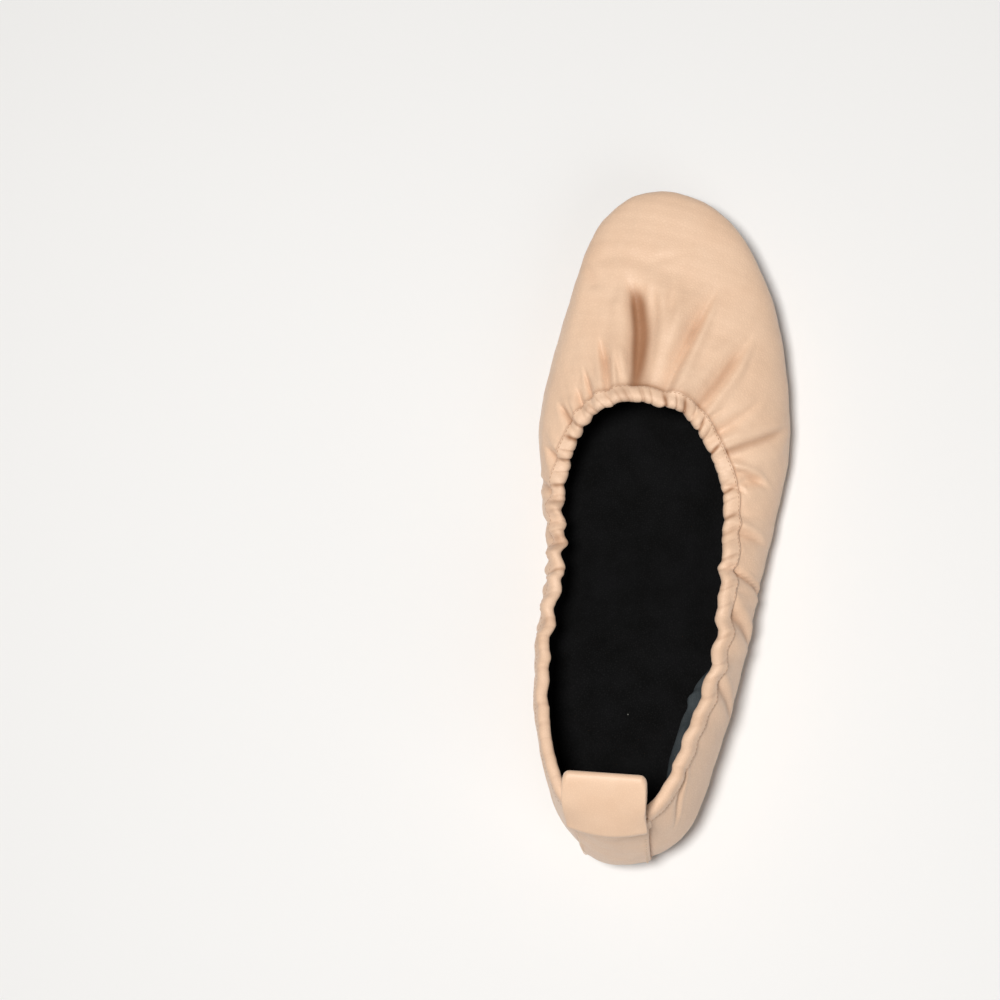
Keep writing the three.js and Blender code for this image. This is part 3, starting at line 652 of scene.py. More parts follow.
def fibre_nap():
    """Matted fibres: streaks one way over a fine fluff."""
    inputs = [("Vector", VECTOR, None), ("Fibre", FLOAT, 0.0006), ("Streak", FLOAT, 0.5)]
    group, t, entry, leave = new_group("fibre nap", inputs, ["Height", "Tone"])
    density = t.math("DIVIDE", 1.0, entry.outputs["Fibre"])
    where = entry.outputs["Vector"]
    turn, squeeze = (0.1, 0.2, 0.4), (1.0, 0.16, 1.0)
    drawn = t.add("ShaderNodeMapping", None, Vector=where, Rotation=turn, Scale=squeeze)
    streaks = t.noise(drawn.outputs[0], density, 4.0, 0.65)
    fluff = t.noise(where, t.math("MULTIPLY", density, 1.9), 5.0, 0.7)
    blotch = t.noise(where, t.math("MULTIPLY", density, 0.05), 3.0, 0.5)
    share = entry.outputs["Streak"]
    rest = t.math("SUBTRACT", 1.0, share)
    height = t.math("ADD", t.math("MULTIPLY", streaks, share), t.math("MULTIPLY", fluff, rest))
    tone = t.math("ADD", t.math("MULTIPLY", height, 0.6), t.math("MULTIPLY", blotch, 0.4))
    t.feed(leave, "Height", height)
    t.feed(leave, "Tone", t.span(tone, 0.3, 0.7))
    return group


def edge_wear():
    """Rubbed patches along the arrises."""
    inputs = [("Vector", VECTOR, None), ("Patch", FLOAT, 0.004), ("Reach", FLOAT, 0.06)]
    group, t, entry, leave = new_group("edge wear", inputs, ["Mask"])
    sharp = t.add("ShaderNodeNewGeometry").outputs["Pointiness"]
    edge = t.add("ShaderNodeMapRange", {"interpolation_type": "SMOOTHSTEP"}, Value=sharp)
    t.feed(edge, "From Min", 0.5)
    t.feed(edge, "From Max", t.math("ADD", 0.5, entry.outputs["Reach"]))
    broken = t.noise(entry.outputs["Vector"], t.math("DIVIDE", 1.0, entry.outputs["Patch"]), 4.0, 0.6)
    t.feed(leave, "Mask", t.math("MULTIPLY", edge.outputs[0], t.span(broken, 0.3, 0.65)))
    return group


def lint():
    """Sparse specks of dust and lint."""
    inputs = [("Vector", VECTOR, None), ("Speck", FLOAT, 0.004), ("Amount", FLOAT, 0.06)]
    group, t, entry, leave = new_group("lint", inputs, ["Mask"])
    spots = t.add("ShaderNodeTexVoronoi", {"feature": "F1"}, Vector=entry.outputs["Vector"])
    t.feed(spots, "Scale", t.math("DIVIDE", 1.0, entry.outputs["Speck"]))
    tint = t.add("ShaderNodeSeparateColor", None, Color=spots.outputs["Color"])
    chosen = t.math("LESS_THAN", tint.outputs[0], entry.outputs["Amount"])
    near = t.span(spots.outputs["Distance"], 0.05, 0.0)
    t.feed(leave, "Mask", t.math("MULTIPLY", chosen, near))
    return group


GROUPS = {}
GROUP_BUILDERS = {
    "leather grain": leather_grain,
    "fibre nap": fibre_nap,
    "edge wear": edge_wear,
    "lint": lint,
}


def effect(tree, name, **inputs):
    """Places a shared effect in a material, on the piece's own Object coordinates."""
    if name not in GROUPS:
        GROUPS[name] = GROUP_BUILDERS[name]()
    node = tree.add("ShaderNodeGroup", {"node_tree": GROUPS[name]}, Vector=object_place(tree))
    for key, value in inputs.items():
        tree.feed(node, key.capitalize(), value)
    return node.outputs


def object_place(tree):
    found = [n for n in tree.nodes if n.bl_idname == "ShaderNodeTexCoord"]
    node = found[0] if found else tree.add("ShaderNodeTexCoord")
    return node.outputs["Object"]


def new_material(name, **plain):
    """A material with its Principled shader, and shorthand for its tree."""
    material = bpy.data.materials.new(name)
    material.use_nodes = True
    tree = Tree(material.node_tree)
    shader = material.node_tree.nodes["Principled BSDF"]
    for key, value in plain.items():
        shader.inputs[key.replace("_", " ")].default_value = value
    return material, tree, shader


def bump(tree, shader, height, strength, distance, under=None):
    node = tree.add("ShaderNodeBump", None, Height=height, Strength=strength, Distance=distance)
    if under is not None:
        tree.feed(node, "Normal", under)
    tree.feed(shader, "Normal", node.outputs[0])
    return node.outputs[0]


def linear(red, green, blue):
    """A linear colour from its 0 to 255 display values."""
    def one(value):
        value = value / 255
        return value / 12.92 if value <= 0.04045 else ((value + 0.055) / 1.055) ** 2.4
    return (one(red), one(green), one(blue), 1.0)


# ---- Materials ----------------------------------------------------------------------------------


def nappa(name, light, dark, pore_and_shade_colour, cell, wrinkle, roughness, depth):
    """Soft pale leather: grain, pores and a slow change of tone, with painted shade in its creases and
    joints, which are also duller.
    """
    material, t, shader = new_material(
        name, Specular_IOR_Level=0.42, Sheen_Weight=0.12, Sheen_Roughness=0.45
    )
    grain = effect(t, "leather grain", cell=cell, wrinkle=wrinkle)
    tone = t.mix(grain["Tone"], light, dark)
    pored = t.mix(t.math("MULTIPLY", grain["Pores"], 0.07), tone, pore_and_shade_colour)
    # Painted shade: the mesh's valley attribute darkens the colour towards the darkest brown in creases,
    # gathers and joints.
    valley = t.add("ShaderNodeAttribute", {"attribute_name": "valley"}).outputs["Fac"]
    colour = t.mix(t.math("MULTIPLY", valley, 0.92, clamp=True), pored, pore_and_shade_colour)
    t.feed(shader, "Base Color", colour)
    rough = t.math("ADD", roughness, t.math("MULTIPLY", grain["Pores"], 0.12))
    t.feed(shader, "Roughness", t.math("ADD", rough, t.math("MULTIPLY", valley, 0.1)))
    bump(t, shader, grain["Height"], depth, 0.0002)
    return material


def soft_black(name, black_and_painted_shade, colour, worn, fibre, roughness, amount):
    """Black lining with a short nap and a few specks of lint. Where its mask is low the first colour is
    used: painted shade on the suede lining, the plain black of the textile one; where the mask is high the
    nap shows its own two tones.
    """
    material, t, shader = new_material(name, Specular_IOR_Level=0.05)
    nap = effect(t, "fibre nap", fibre=fibre, streak=0.3)
    specks = effect(t, "lint", speck=0.006, amount=amount)
    # Where the mesh's mask is low, the first colour is used: on the suede lining it is a near-black
    # painted shade.
    rubbed_and_unshaded = t.add("ShaderNodeAttribute", {"attribute_name": "rubbed_and_unshaded"}).outputs["Fac"]
    nap_and_painted_shade = t.mix(rubbed_and_unshaded, black_and_painted_shade, t.mix(nap["Tone"], colour, worn))
    t.feed(shader, "Base Color", t.mix(specks["Mask"], nap_and_painted_shade, linear(150, 146, 140)))
    t.feed(shader, "Roughness", t.math("ADD", roughness, t.math("MULTIPLY", nap["Tone"], 0.1)))
    bump(t, shader, nap["Height"], 0.5, 0.0002)
    return material


def sock_leather():
    """Smooth black sock leather with a faint grain and lint."""
    material, t, shader = new_material("sock_leather", Specular_IOR_Level=0.05)
    grain = effect(t, "leather grain", cell=0.0008, wrinkle=0.2)
    specks = effect(t, "lint", speck=0.007, amount=0.07)
    base = t.mix(grain["Tone"], linear(6, 6, 6), linear(14, 14, 15))
    t.feed(shader, "Base Color", t.mix(specks["Mask"], base, linear(140, 138, 132)))
    t.feed(shader, "Roughness", t.math("ADD", 0.62, t.math("MULTIPLY", grain["Pores"], 0.15)))
    bump(t, shader, grain["Height"], 0.35, 0.00015)
    return material


def sole_leather():
    """Vegetable-tanned sole leather: streaked brown with dark specks, rubbed pale at the arris."""
    material, t, shader = new_material("sole_leather", Specular_IOR_Level=0.35)
    nap = effect(t, "fibre nap", fibre=0.0009, streak=0.7)
    wear = effect(t, "edge wear", patch=0.003, reach=0.05)
    specks = effect(t, "lint", speck=0.005, amount=0.08)
    base = t.mix(nap["Tone"], linear(92, 63, 43), linear(134, 99, 70))
    rubbed_and_unshaded = t.mix(t.math("MULTIPLY", wear["Mask"], 0.6), base, linear(158, 124, 94))
    spots = t.math("MULTIPLY", specks["Mask"], 0.5)
    t.feed(shader, "Base Color", t.mix(spots, rubbed_and_unshaded, linear(60, 44, 34)))
    t.feed(shader, "Roughness", t.math("ADD", 0.5, t.math("MULTIPLY", nap["Tone"], 0.2)))
    bump(t, shader, nap["Height"], 0.5, 0.00025)
    return material


def fibrous(name, dark, light, fibre, streak, roughness, depth, **plain):
    """Board, felt, foam, elastic and stacked leather: streaked or fluffy fibres in two tones."""
    material, t, shader = new_material(name, **plain)
    nap = effect(t, "fibre nap", fibre=fibre, streak=streak)
    t.feed(shader, "Base Color", t.mix(nap["Tone"], dark, light))
    t.feed(shader, "Roughness", t.math("ADD", roughness, t.math("MULTIPLY", nap["Tone"], 0.08)))
    bump(t, shader, nap["Height"], depth, 0.0003)
    return material


def metal(name, light, dark, roughness):
    """Bare metal, brushed and a little tarnished."""
    material, t, shader = new_material(name, Metallic=1.0)
    nap = effect(t, "fibre nap", fibre=0.0005, streak=0.9)
    t.feed(shader, "Base Color", t.mix(nap["Tone"], light, dark))
    t.feed(shader, "Roughness", t.math("ADD", roughness, t.math("MULTIPLY", nap["Tone"], 0.2)))
    bump(t, shader, nap["Height"], 0.2, 0.0001)
    return material


def thread(name, light, dark):
    """Waxed sewing thread."""
    return fibrous(name, dark, light, 0.0002, 0.8, 0.5, 0.3)


PALE = linear(239, 205, 176)
TAN = linear(234, 198, 168)
# Darkest leather colour: a little of it in the pores, and painted shade in the creases and joints.
PORE_AND_PAINTED_SHADE = linear(154, 106, 72)

FINISHES = {
    "nappa": lambda: nappa("nappa", PALE, TAN, PORE_AND_PAINTED_SHADE, 0.0011, 0.45, 0.46, 0.3),
    "nappa_band": lambda: nappa(
        "nappa_band", linear(239, 205, 177), TAN, PORE_AND_PAINTED_SHADE, 0.0009, 0.3, 0.5, 0.35
    ),
    "nappa_strap": lambda: nappa("nappa_strap", PALE, TAN, PORE_AND_PAINTED_SHADE, 0.0008, 0.25, 0.42, 0.25),
    # Suede lining: first a near-black painted shade, then its own two grey nap tones.
    "lining_suede": lambda: soft_black(
        "lining_suede", linear(15, 16, 17), linear(52, 58, 61), linear(98, 106, 110), 0.0005, 0.85, 0.06
    ),
    "lining_textile": lambda: soft_black(
        "lining_textile", linear(12, 12, 13), linear(8, 8, 9), linear(17, 17, 18), 0.0004, 0.8, 0.04
    ),
    "sock_leather": sock_leather,
    "sock_foam": lambda: fibrous(
        "sock_foam", linear(200, 192, 176), linear(226, 220, 206), 0.0007, 0.0, 0.9, 0.6
    ),
    "stiffener": lambda: fibrous(
        "stiffener", linear(186, 174, 150), linear(216, 207, 188), 0.0006, 0.4, 0.85, 0.4
    ),
    "insole_fibre": lambda: fibrous(
        "insole_fibre", linear(136, 105, 74), linear(170, 138, 102), 0.001, 0.6, 0.85, 0.5
    ),
    "cork": lambda: fibrous(
        "cork", linear(112, 80, 50), linear(168, 130, 88), 0.002, 0.1, 0.9, 0.7
    ),
    "shank_steel": lambda: metal("shank_steel", linear(168, 170, 174), linear(120, 122, 128), 0.3),
    "elastic": lambda: fibrous(
        "elastic", linear(214, 208, 196), linear(240, 236, 228), 0.0004, 0.9, 0.8, 0.6
    ),
    "sole_leather": sole_leather,
    "lift_leather": lambda: fibrous(
        "lift_leather", linear(66, 40, 24), linear(112, 74, 46), 0.0008, 0.75, 0.7, 0.6
    ),
    "lift_rubber": lambda: fibrous(
        "lift_rubber", linear(118, 86, 63), linear(136, 102, 76), 0.0006, 0.1, 0.6, 0.15
    ),
    "nail_brass": lambda: metal("nail_brass", linear(196, 160, 84), linear(140, 108, 52), 0.35),
    "thread_tan": lambda: thread("thread_tan", linear(206, 162, 128), linear(168, 124, 92)),
    "thread_pale": lambda: thread("thread_pale", linear(244, 224, 200), linear(216, 188, 160)),
}
MADE = {}


def finish(name):
    if name not in MADE:
        MADE[name] = FINISHES[name]()
    return MADE[name]


# ---- Wall pieces --------------------------------------------------------------------------------


def closed_columns(per_station):
    return np.arange(STATION_COUNT * per_station) / per_station


INNER_ROWS = 46


def build_upper(columns, rows):
    """The upper: its creased outer face, its inner face and the lasting margin under the board."""
    station = closed_columns(columns)[:, None]
    outer = wall_point(station, np.linspace(0, 1, rows)[None])
    inner = wall_point(station, np.linspace(1, 0, INNER_ROWS)[None], NAPPA_THICKNESS)
    margin = feather_outline(station[:, 0], LASTING_MARGIN)
    low, high = (
        to_frame(np.column_stack([margin, above_outsole(margin[:, 1], rise)]))[:, None]
        for rise in (GAP, GAP + NAPPA_THICKNESS)
    )
    sections = np.concatenate([low, outer, inner, high], axis=1)
    mesh = make_mesh("upper", *loft(sections, True))
    # Painted shade for the leather's colour, from 0 to 1: darker in the creases, along the binding's foot
    # and beside the backstay's edges.
    valley = np.zeros(sections.shape[:2])
    share = np.linspace(0, 1, rows)[None]
    depth = -crease_depths(station + 0 * share, wall_mm(station, share))
    # Painted shade in a thin line along the binding's foot.
    foot = share_below_top(station, 2.7)
    binding_foot_shade = 0.5 * np.exp(-(((share - foot) / 0.012) ** 2))
    # Painted shade on the upper beside the backstay's edges.
    beside = np.abs(wall_mm(station, share)[..., 0] - wall_mm(0 * station, share)[..., 0])
    strip = (BACKSTAY_FOOT_WIDTH + (BACKSTAY_TOP_WIDTH - BACKSTAY_FOOT_WIDTH) * share) / 2
    near_heel = (np.abs((station + 9) % STATION_COUNT - 9) < 2) * 0.7
    edge = near_heel * np.exp(-(((beside - strip - 0.3) / 0.7) ** 2))
    valley[:, 1 : rows + 1] = np.clip(smoothstep(depth, 0.2, 3.0) + binding_foot_shade + edge, 0, 1)
    set_attribute(mesh, "valley", valley)
    return add_piece("upper_leather", mesh, "nappa", "upper")


def lining_depth(share):
    hollow = 1 - smoothstep(share, 0.62, 0.86)
    return NAPPA_THICKNESS + GAP + (STIFFENER_THICKNESS + GAP) * hollow


LINING_COLUMNS, LINING_ROWS = 220, 80
SLACK_DEPTH = 12.5


def slack_place(station):
    """Where the lining is slack, from 0 to 1: the outer side of the heel. The suede shows its own grey
    there and painted shade elsewhere.
    """
    return np.exp(-(((station - 2.05) / 0.95) ** 4))


def slack(station, share):
    """How far the unstiffened lining bags into the shoe."""
    bag = smoothstep(share, 0.2, 0.42) * (1 - smoothstep(share, 0.5, 0.98))
    return SLACK_DEPTH * slack_place(station) * bag


def wall_layer(name, slot, start, end):
    """One lining: a closed layer of the wall over a stretch of stations."""
    station = np.linspace(start, end, LINING_COLUMNS)[:, None]
    share = np.linspace(0, 1, LINING_ROWS)[None]
    depth = lining_depth(share) + slack(station, share)
    outer = wall_point(station, share, depth)
    inner = wall_point(station, share, depth + LINING_THICKNESS)[:, ::-1]
    mesh = make_mesh(name, *loft(np.concatenate([outer, inner], axis=1), False))
    # Painted shade mask: 1 where the suede shows its own grey, 0 where its material paints near-black
    # shade.
    rubbed_and_unshaded = slack_place(station) * smoothstep(share, 0.15, 0.4)
    set_attribute(mesh, "rubbed_and_unshaded", np.concatenate([rubbed_and_unshaded, rubbed_and_unshaded[:, ::-1]], axis=1))
    return add_piece(name + "_cloth", mesh, slot, name)


def build_linings():
    joint = LINING_JOINT - JOINT_GAP
    wall_layer("quarter_lining", "lining_suede", -joint, joint)
    joint = LINING_JOINT + JOINT_GAP
    wall_layer("vamp_lining", "lining_textile", joint, STATION_COUNT - joint)


# ---- Binding ------------------------------------------------------------------------------------

# The binding's section as (out, rise) in millimetres: its visible face from the foot of the outer
# leg over the roof to the foot of the inner leg, then the tunnel for the elastic.
BINDING_FACE = [
    (0.42, -2.5), (0.85, -2.35), (1.05, -1.5), (1.15, -0.2), (1.15, 1.2), (0.75, 2.4), (-0.1, 3.1),
    (-1.1, 3.3), (-2.1, 3.1), (-2.85, 2.4), (-3.2, 1.2), (-3.15, -0.2), (-3.05, -1.5), (-2.9, -2.35),
    (-2.5, -2.5),
]
BINDING_TUNNEL = [
    (-2.4, -2.3), (-2.4, 0), (-2.4, 1.9), (-1.9, 2.5), (-1.05, 2.6), (-0.2, 2.5), (0.3, 1.9),
    (0.3, 0), (0.3, -2.3),
]


def open_curve(knots, count):
    """Evenly numbered points on a smooth open curve through the knots, with its outward normals."""
    knots = np.array(knots, float)
    padded = np.concatenate([[2 * knots[0] - knots[1]], knots, [2 * knots[-1] - knots[-2]]])
    at = np.linspace(0, len(knots) - 1 - 1e-9, count)
    here = at.astype(int)
    t = (at - here)[:, None]
    before, start, end, after = (padded[here + i] for i in range(4))
    leave, arrive = (end - before) / 2, (after - start) / 2
    cubic = 2 * start - 2 * end + leave + arrive
    points = cubic * t**3 + (-3 * start + 3 * end - 2 * leave - arrive) * t**2 + leave * t + start
    along = np.gradient(points, axis=0)
    normals = np.stack([along[:, 1], -along[:, 0]], 1)
    return points, normals / np.linalg.norm(normals, axis=1)[:, None]


def binding_puff(station, height):
    """How far the gathered binding puffs out of its plain section, in millimetres."""
    arc = topline_arc(station)
    strength = np.interp(station % STATION_COUNT, GATHER_STATIONS, GATHER_STRENGTH)
    slant = arc + 0.5 * height
    fine = swell(slant, 4.6, 4.0) - 0.6
    broad = swell(slant, 9.5, 2.0) - 0.5
    front = np.exp(-(((station % STATION_COUNT - TOE_STATION) / 3.6) ** 2))
    pleated = 0.35 + 0.65 * np.exp(-(((station % STATION_COUNT - TOE_STATION) / 4.2) ** 4))
    return strength * (0.5 + 0.35 * front) * (fine * pleated + 1.2 * broad * (0.4 + 0.6 * pleated))


def binding_surface(station, share_round):
    """Frame points of the binding's visible face: share_round runs 0 to 1 over its section."""
    points, normals = open_curve(BINDING_FACE, 241)
    pick = np.clip((np.asarray(share_round) * 240).round().astype(int), 0, 240)
    section, normal = points[pick], normals[pick]
    station = np.asarray(station, float)
    free = smoothstep(section[..., 1], -2.6, 0.5)
    puff = binding_puff(station, section[..., 1]) * (0.25 + 0.75 * free)
    sway = 0.35 * (swell(topline_arc(station), 15.0, 5.0) - 0.5)
    sway = sway * np.interp(station % STATION_COUNT, GATHER_STATIONS, GATHER_STRENGTH)
    out = section[..., 0] + normal[..., 0] * puff + sway * free
    rise = section[..., 1] + normal[..., 1] * puff
    return topline_point(station, out, rise), puff


def build_binding(columns):
    """The gathered leather binding round the topline."""
    station = closed_columns(columns)[:, None]
    face, puff = binding_surface(station, np.linspace(0, 1, 30)[None])
    tunnel, _ = open_curve(BINDING_TUNNEL, 16)
    inside = topline_point(station, tunnel[None, :, 0], tunnel[None, :, 1])
    sections = np.concatenate([face, inside], axis=1)
    mesh = make_mesh("topline_binding", *loft(sections, True))
    # Painted shade: the binding's colour darkens in the dips between its puffs.
    valley = np.zeros(sections.shape[:2])
    valley[:, : face.shape[1]] = np.clip(-puff * 2.0, 0, 1)
    set_attribute(mesh, "valley", valley)
    return add_piece("topline_binding_leather", mesh, "nappa_band", "topline_binding")


def build_elastic(columns):
    """The round elastic in the binding's tunnel."""
    station = closed_columns(columns)[:, None]
    turn = np.linspace(0, 2 * math.pi, 12, endpoint=False)[None]
    centre = (-1.05, 1.45)
    ribbed = 0.82 + 0.03 * np.cos(6 * turn + topline_arc(station) * 2.4)
    ring = topline_point(station, centre[0] + ribbed * np.cos(turn), centre[1] + ribbed * np.sin(turn))
    mesh = make_mesh("elastic_cord", *loft(ring, True))
    return add_piece("elastic_cord_braid", mesh, "elastic", "elastic_cord")


# ---- Backstay and pull loop ---------------------------------------------------------------------


def station_at_reach(share, reach):
    """Stations near the heel's centre where the wall stands `reach` mm to the side of it."""
    share, reach = np.broadcast_arrays(np.asarray(share, float), np.asarray(reach, float))
    middle = wall_mm(np.zeros(share.shape), share)[..., 0]
    near, far = np.zeros(share.shape), 2 * np.sign(reach)
    for _ in range(30):
        station = (near + far) / 2
        short = np.abs(wall_mm(station, share)[..., 0] - middle) < np.abs(reach)
        near, far = np.where(short, station, near), np.where(short, far, station)
    return near


BACKSTAY_COLUMNS, BACKSTAY_ROWS = 61, 90
# The strip is thickest in the step under the binding's foot, and thinner above and below that.
BACKSTAY_STEP_LIFT, BACKSTAY_THINNING = 1.3, 0.35


def strip_edge(part, width, radius):
    """How far a strip's face drops towards its side edges, as a share of its thickness."""
    to_edge = np.maximum(0, radius - width * (0.5 - np.abs(part)))
    return 1 - np.sqrt(np.maximum(0, 1 - (to_edge / radius) ** 2))


def build_backstay(columns, rows):
    """The strip down the back of the heel, with turned and pressed edges."""
    part = np.sin(np.linspace(-math.pi / 2, math.pi / 2, columns))[None] * 0.5
    low_share = share_below_top(np.zeros(1), 4.9)[0]
    share = np.concatenate([np.linspace(0.004, low_share, rows), np.full(24, 1.0)])[:, None]
    rise = np.concatenate([np.zeros(rows), np.linspace(-4.7, 2.3, 24)])[:, None]
    out = np.where(rise == 0, GAP, GAP + 0.9 * smoothstep(rise, -4.9, -2.9))
    out[:rows] = GAP
    width = BACKSTAY_FOOT_WIDTH + (BACKSTAY_TOP_WIDTH - BACKSTAY_FOOT_WIDTH) * share
    station = station_at_reach(share * np.ones_like(part), part * width)
    faces = []
    for lift in (1.0, 0.0):
        edge = strip_edge(part, width, 0.7) * (0.85 if lift else 0.0)
        ends = 0.5 * np.exp(-((np.arange(share.size)[::-1, None]) / 1.6) ** 2) * lift
        wave = 0.07 * np.sin(share * 70 + 2 * part) * np.sin(share * 23 + 9 * part) * lift
        turned = 0.16 * np.exp(-((((0.5 - np.abs(part)) * width) - 1.7) / 0.7) ** 2) * lift
        thick = BACKSTAY_STEP_LIFT - BACKSTAY_THINNING * smoothstep(rise, -4.6, -1.0)
        height = thick * lift * (1 - edge) - ends + wave + turned
        low = wall_point(station[:rows], share[:rows] + 0 * part, -(out + height)[:rows])
        high = topline_point(station[rows:], (out + height)[rows:], rise[rows:] + 0 * part)
        faces.append(np.concatenate([low, high]))
    sections = np.concatenate([faces[0], faces[1][:, ::-1]], axis=1)
    mesh = make_mesh("backstay", *loft(sections, False))
    return add_piece("backstay_strip", mesh, "nappa_strap", "backstay")


# The pull loop's side view in its own axes, millimetres: x along the loop from the hinge, y towards
# its back. The outer line starts and ends in the flap that laps over the top of the backstay.
LOOP_WIDTH, LOOP_LENGTH, LOOP_CORNER = 29, 22.6, 3
LOOP_ASIDE = -1.2
LOOP_AROUND, LOOP_ACROSS = 260, 61
LOOP_LEAN = math.radians(35)
LOOP_OUTER = [
    (-5.0, -2.75), (-4.4, -1.3), (-3.35, 0.3), (-1.95, 1.45), (0, 1.85), (3, 2.2), (6.5, 2.4),
    (10, 2.45),
    (13.5, 2.35), (17, 2.0), (20, 1.45), (21.9, 0.6), (22.5, -0.6), (22.1, -1.9), (20.6, -2.8),
    (17.5, -3.15), (14, -3.2), (10.5, -2.75), (7.3, -2.15), (4, -1.75), (1.5, -1.65), (-0.6, -1.6),
    (-2.1, -0.9), (-3.1, -1.5), (-3.75, -2.3), (-4.3, -3.15),
]
LOOP_HOLE = [
    (5.2, 0.35), (8, 0.55), (11, 0.7), (14, 0.62), (17, 0.4), (19.4, 0.1), (20.5, -0.45),
    (20.2, -1.05), (18.6, -1.35), (15.6, -1.5), (12.5, -1.25), (9.5, -0.6), (7, -0.1),
]
HINGE_RISE = 5.2


def closed_curve(knots, count):
    """Evenly spaced points on a smooth closed curve through the knots, and its inward normals."""
    fine = ring_curve(knots, np.linspace(0, len(knots), 2000, endpoint=False))
    ahead = np.roll(fine, -1, axis=0)
    arc = np.concatenate([[0], np.cumsum(np.linalg.norm(ahead - fine, axis=1))])
    at = np.interp(np.linspace(0, arc[-1], count, endpoint=False), arc, np.arange(2001))
    points = fine[at.astype(int) % 2000]
    along = np.roll(points, -1, axis=0) - np.roll(points, 1, axis=0)
    normals = np.stack([-along[:, 1], along[:, 0]], 1)
    normals = normals / np.linalg.norm(normals, axis=1)[:, None]
    area = np.sum(points[:, 0] * np.roll(points[:, 1], -1) - points[:, 1] * np.roll(points[:, 0], -1))
    return points, normals if area > 0 else -normals


def hinge_axes():
    """The hinge's centre and the loop's two side-view directions, in millimetres on the guide axes."""
    up, out = wall_directions(np.zeros(1), np.ones(1))
    centre = wall_mm(np.zeros(1), np.ones(1))[0] + 0.7 * out[0] + HINGE_RISE * up[0]
    along = np.array([0, math.cos(LOOP_LEAN), math.sin(LOOP_LEAN)])
    back = np.array([0, -math.sin(LOOP_LEAN), math.cos(LOOP_LEAN)])
    return centre, along, back, up[0], out[0]


def loop_points(x, y, reach):
    """Frame points of the pull loop: flat at its tip, and bent round the heel at its root."""
    centre, along, back, up, out = hinge_axes()
    flat = centre + x[..., None] * along + y[..., None] * back + reach[..., None] * np.array([1.0, 0, 0])
    side = x[..., None] * along + y[..., None] * back
    round_out, round_rise = 0.7 + side @ out, HINGE_RISE + side @ up
    station = station_at_reach(np.ones_like(reach), reach * 0.93)
    plain_up, plain_out = wall_directions(station, np.ones_like(station))
    bent = wall_mm(station, np.ones_like(station))
    bent = bent + plain_out * round_out[..., None] + plain_up * round_rise[..., None]
    bent[..., 0] += (reach - reach * 0.93) * smoothstep(x, -3, 6)
    share = 0.62 + 0.38 * smoothstep(x, -1.5, 12.0)[..., None]
    return to_frame(bent + (flat - bent) * share)


def build_pull_loop(around, across):
    """The doubled strip that is folded into a pull loop and sewn down over the backstay."""
    outer, outer_in = closed_curve(LOOP_OUTER, around)
    hole, hole_in = closed_curve(LOOP_HOLE, around)
    start = np.argmin(np.linalg.norm(hole - outer[0], axis=1))
    hole, hole_in = np.roll(hole, -start, axis=0), np.roll(hole_in, -start, axis=0)
    if np.sign(turning(outer)) != np.sign(turning(hole)):
        hole, hole_in = np.roll(hole[::-1], 1, axis=0), np.roll(hole_in[::-1], 1, axis=0)
    part = np.sin(np.linspace(-math.pi / 2, math.pi / 2, across)) * 0.5
    rows = []
    for line, inwards, sign in ((outer, outer_in, 1), (hole, hole_in, -1)):
        edge = strip_edge(part, LOOP_WIDTH, 0.55) * 0.5
        turned = 0.14 * np.exp(-(((0.5 - np.abs(part)) * LOOP_WIDTH - 1.5) / 0.7) ** 2)
        move = (edge - turned * (sign > 0))[None, :, None] * sign
        grid = line[:, None] + inwards[:, None] * move
        x, y = grid[..., 0], grid[..., 1]
        reach = np.broadcast_to(part * LOOP_WIDTH, x.shape)
        past = np.maximum(0, np.abs(reach) - (LOOP_WIDTH / 2 - LOOP_CORNER))
        cut = LOOP_CORNER - np.sqrt(np.maximum(0, LOOP_CORNER**2 - past**2))
        x = x - cut * smoothstep(x, LOOP_LENGTH - 9, LOOP_LENGTH)
        narrow = 1 - 0.045 * (1 - smoothstep(x, -4, 5))
        aside = LOOP_ASIDE * (0.25 + 0.75 * smoothstep(x, -2, 8))
        rows.append(loop_points(x, y, reach * narrow + aside))
    sections = np.concatenate([rows[0], rows[1][:, ::-1]], axis=1)
    mesh = make_mesh("pull_loop", *loft(sections, True))
    piece = add_piece("pull_loop_strap", mesh, "nappa_strap", "pull_loop", body=None)
    centre, along, *_ = hinge_axes()
    start, end = (to_frame(centre + along * reach) for reach in (-1.6, 3.4))
    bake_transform(piece)
    return piece


def turning(line):
    ahead = np.roll(line, -1, axis=0)
    return np.sum(line[:, 0] * ahead[:, 1] - line[:, 1] * ahead[:, 0])


# ---- Bottom pieces ------------------------------------------------------------------------------


def level(height):
    return lambda x, y: np.full(np.shape(y), float(height))


def sole_level(height):
    return lambda x, y: above_outsole(y, height)


def sock_top(x, y):
    """The sock's upper face, pressed a little hollow under the heel and the ball of the foot."""
    heel = np.exp(-(((x - 6) / 17) ** 2) - (((y - 40) / 26) ** 2))
    ball = np.exp(-(((x - 10) / 26) ** 2) - (((y - 158) / 30) ** 2))
    ripple = 0.06 * np.sin(0.21 * x + 0.09 * y) * np.sin(0.05 * x - 0.17 * y)
    return above_outsole(y, SOCK_BASE + SOCK_THICKNESS) + 0.25 - 0.35 * heel - 0.25 * ball + ripple


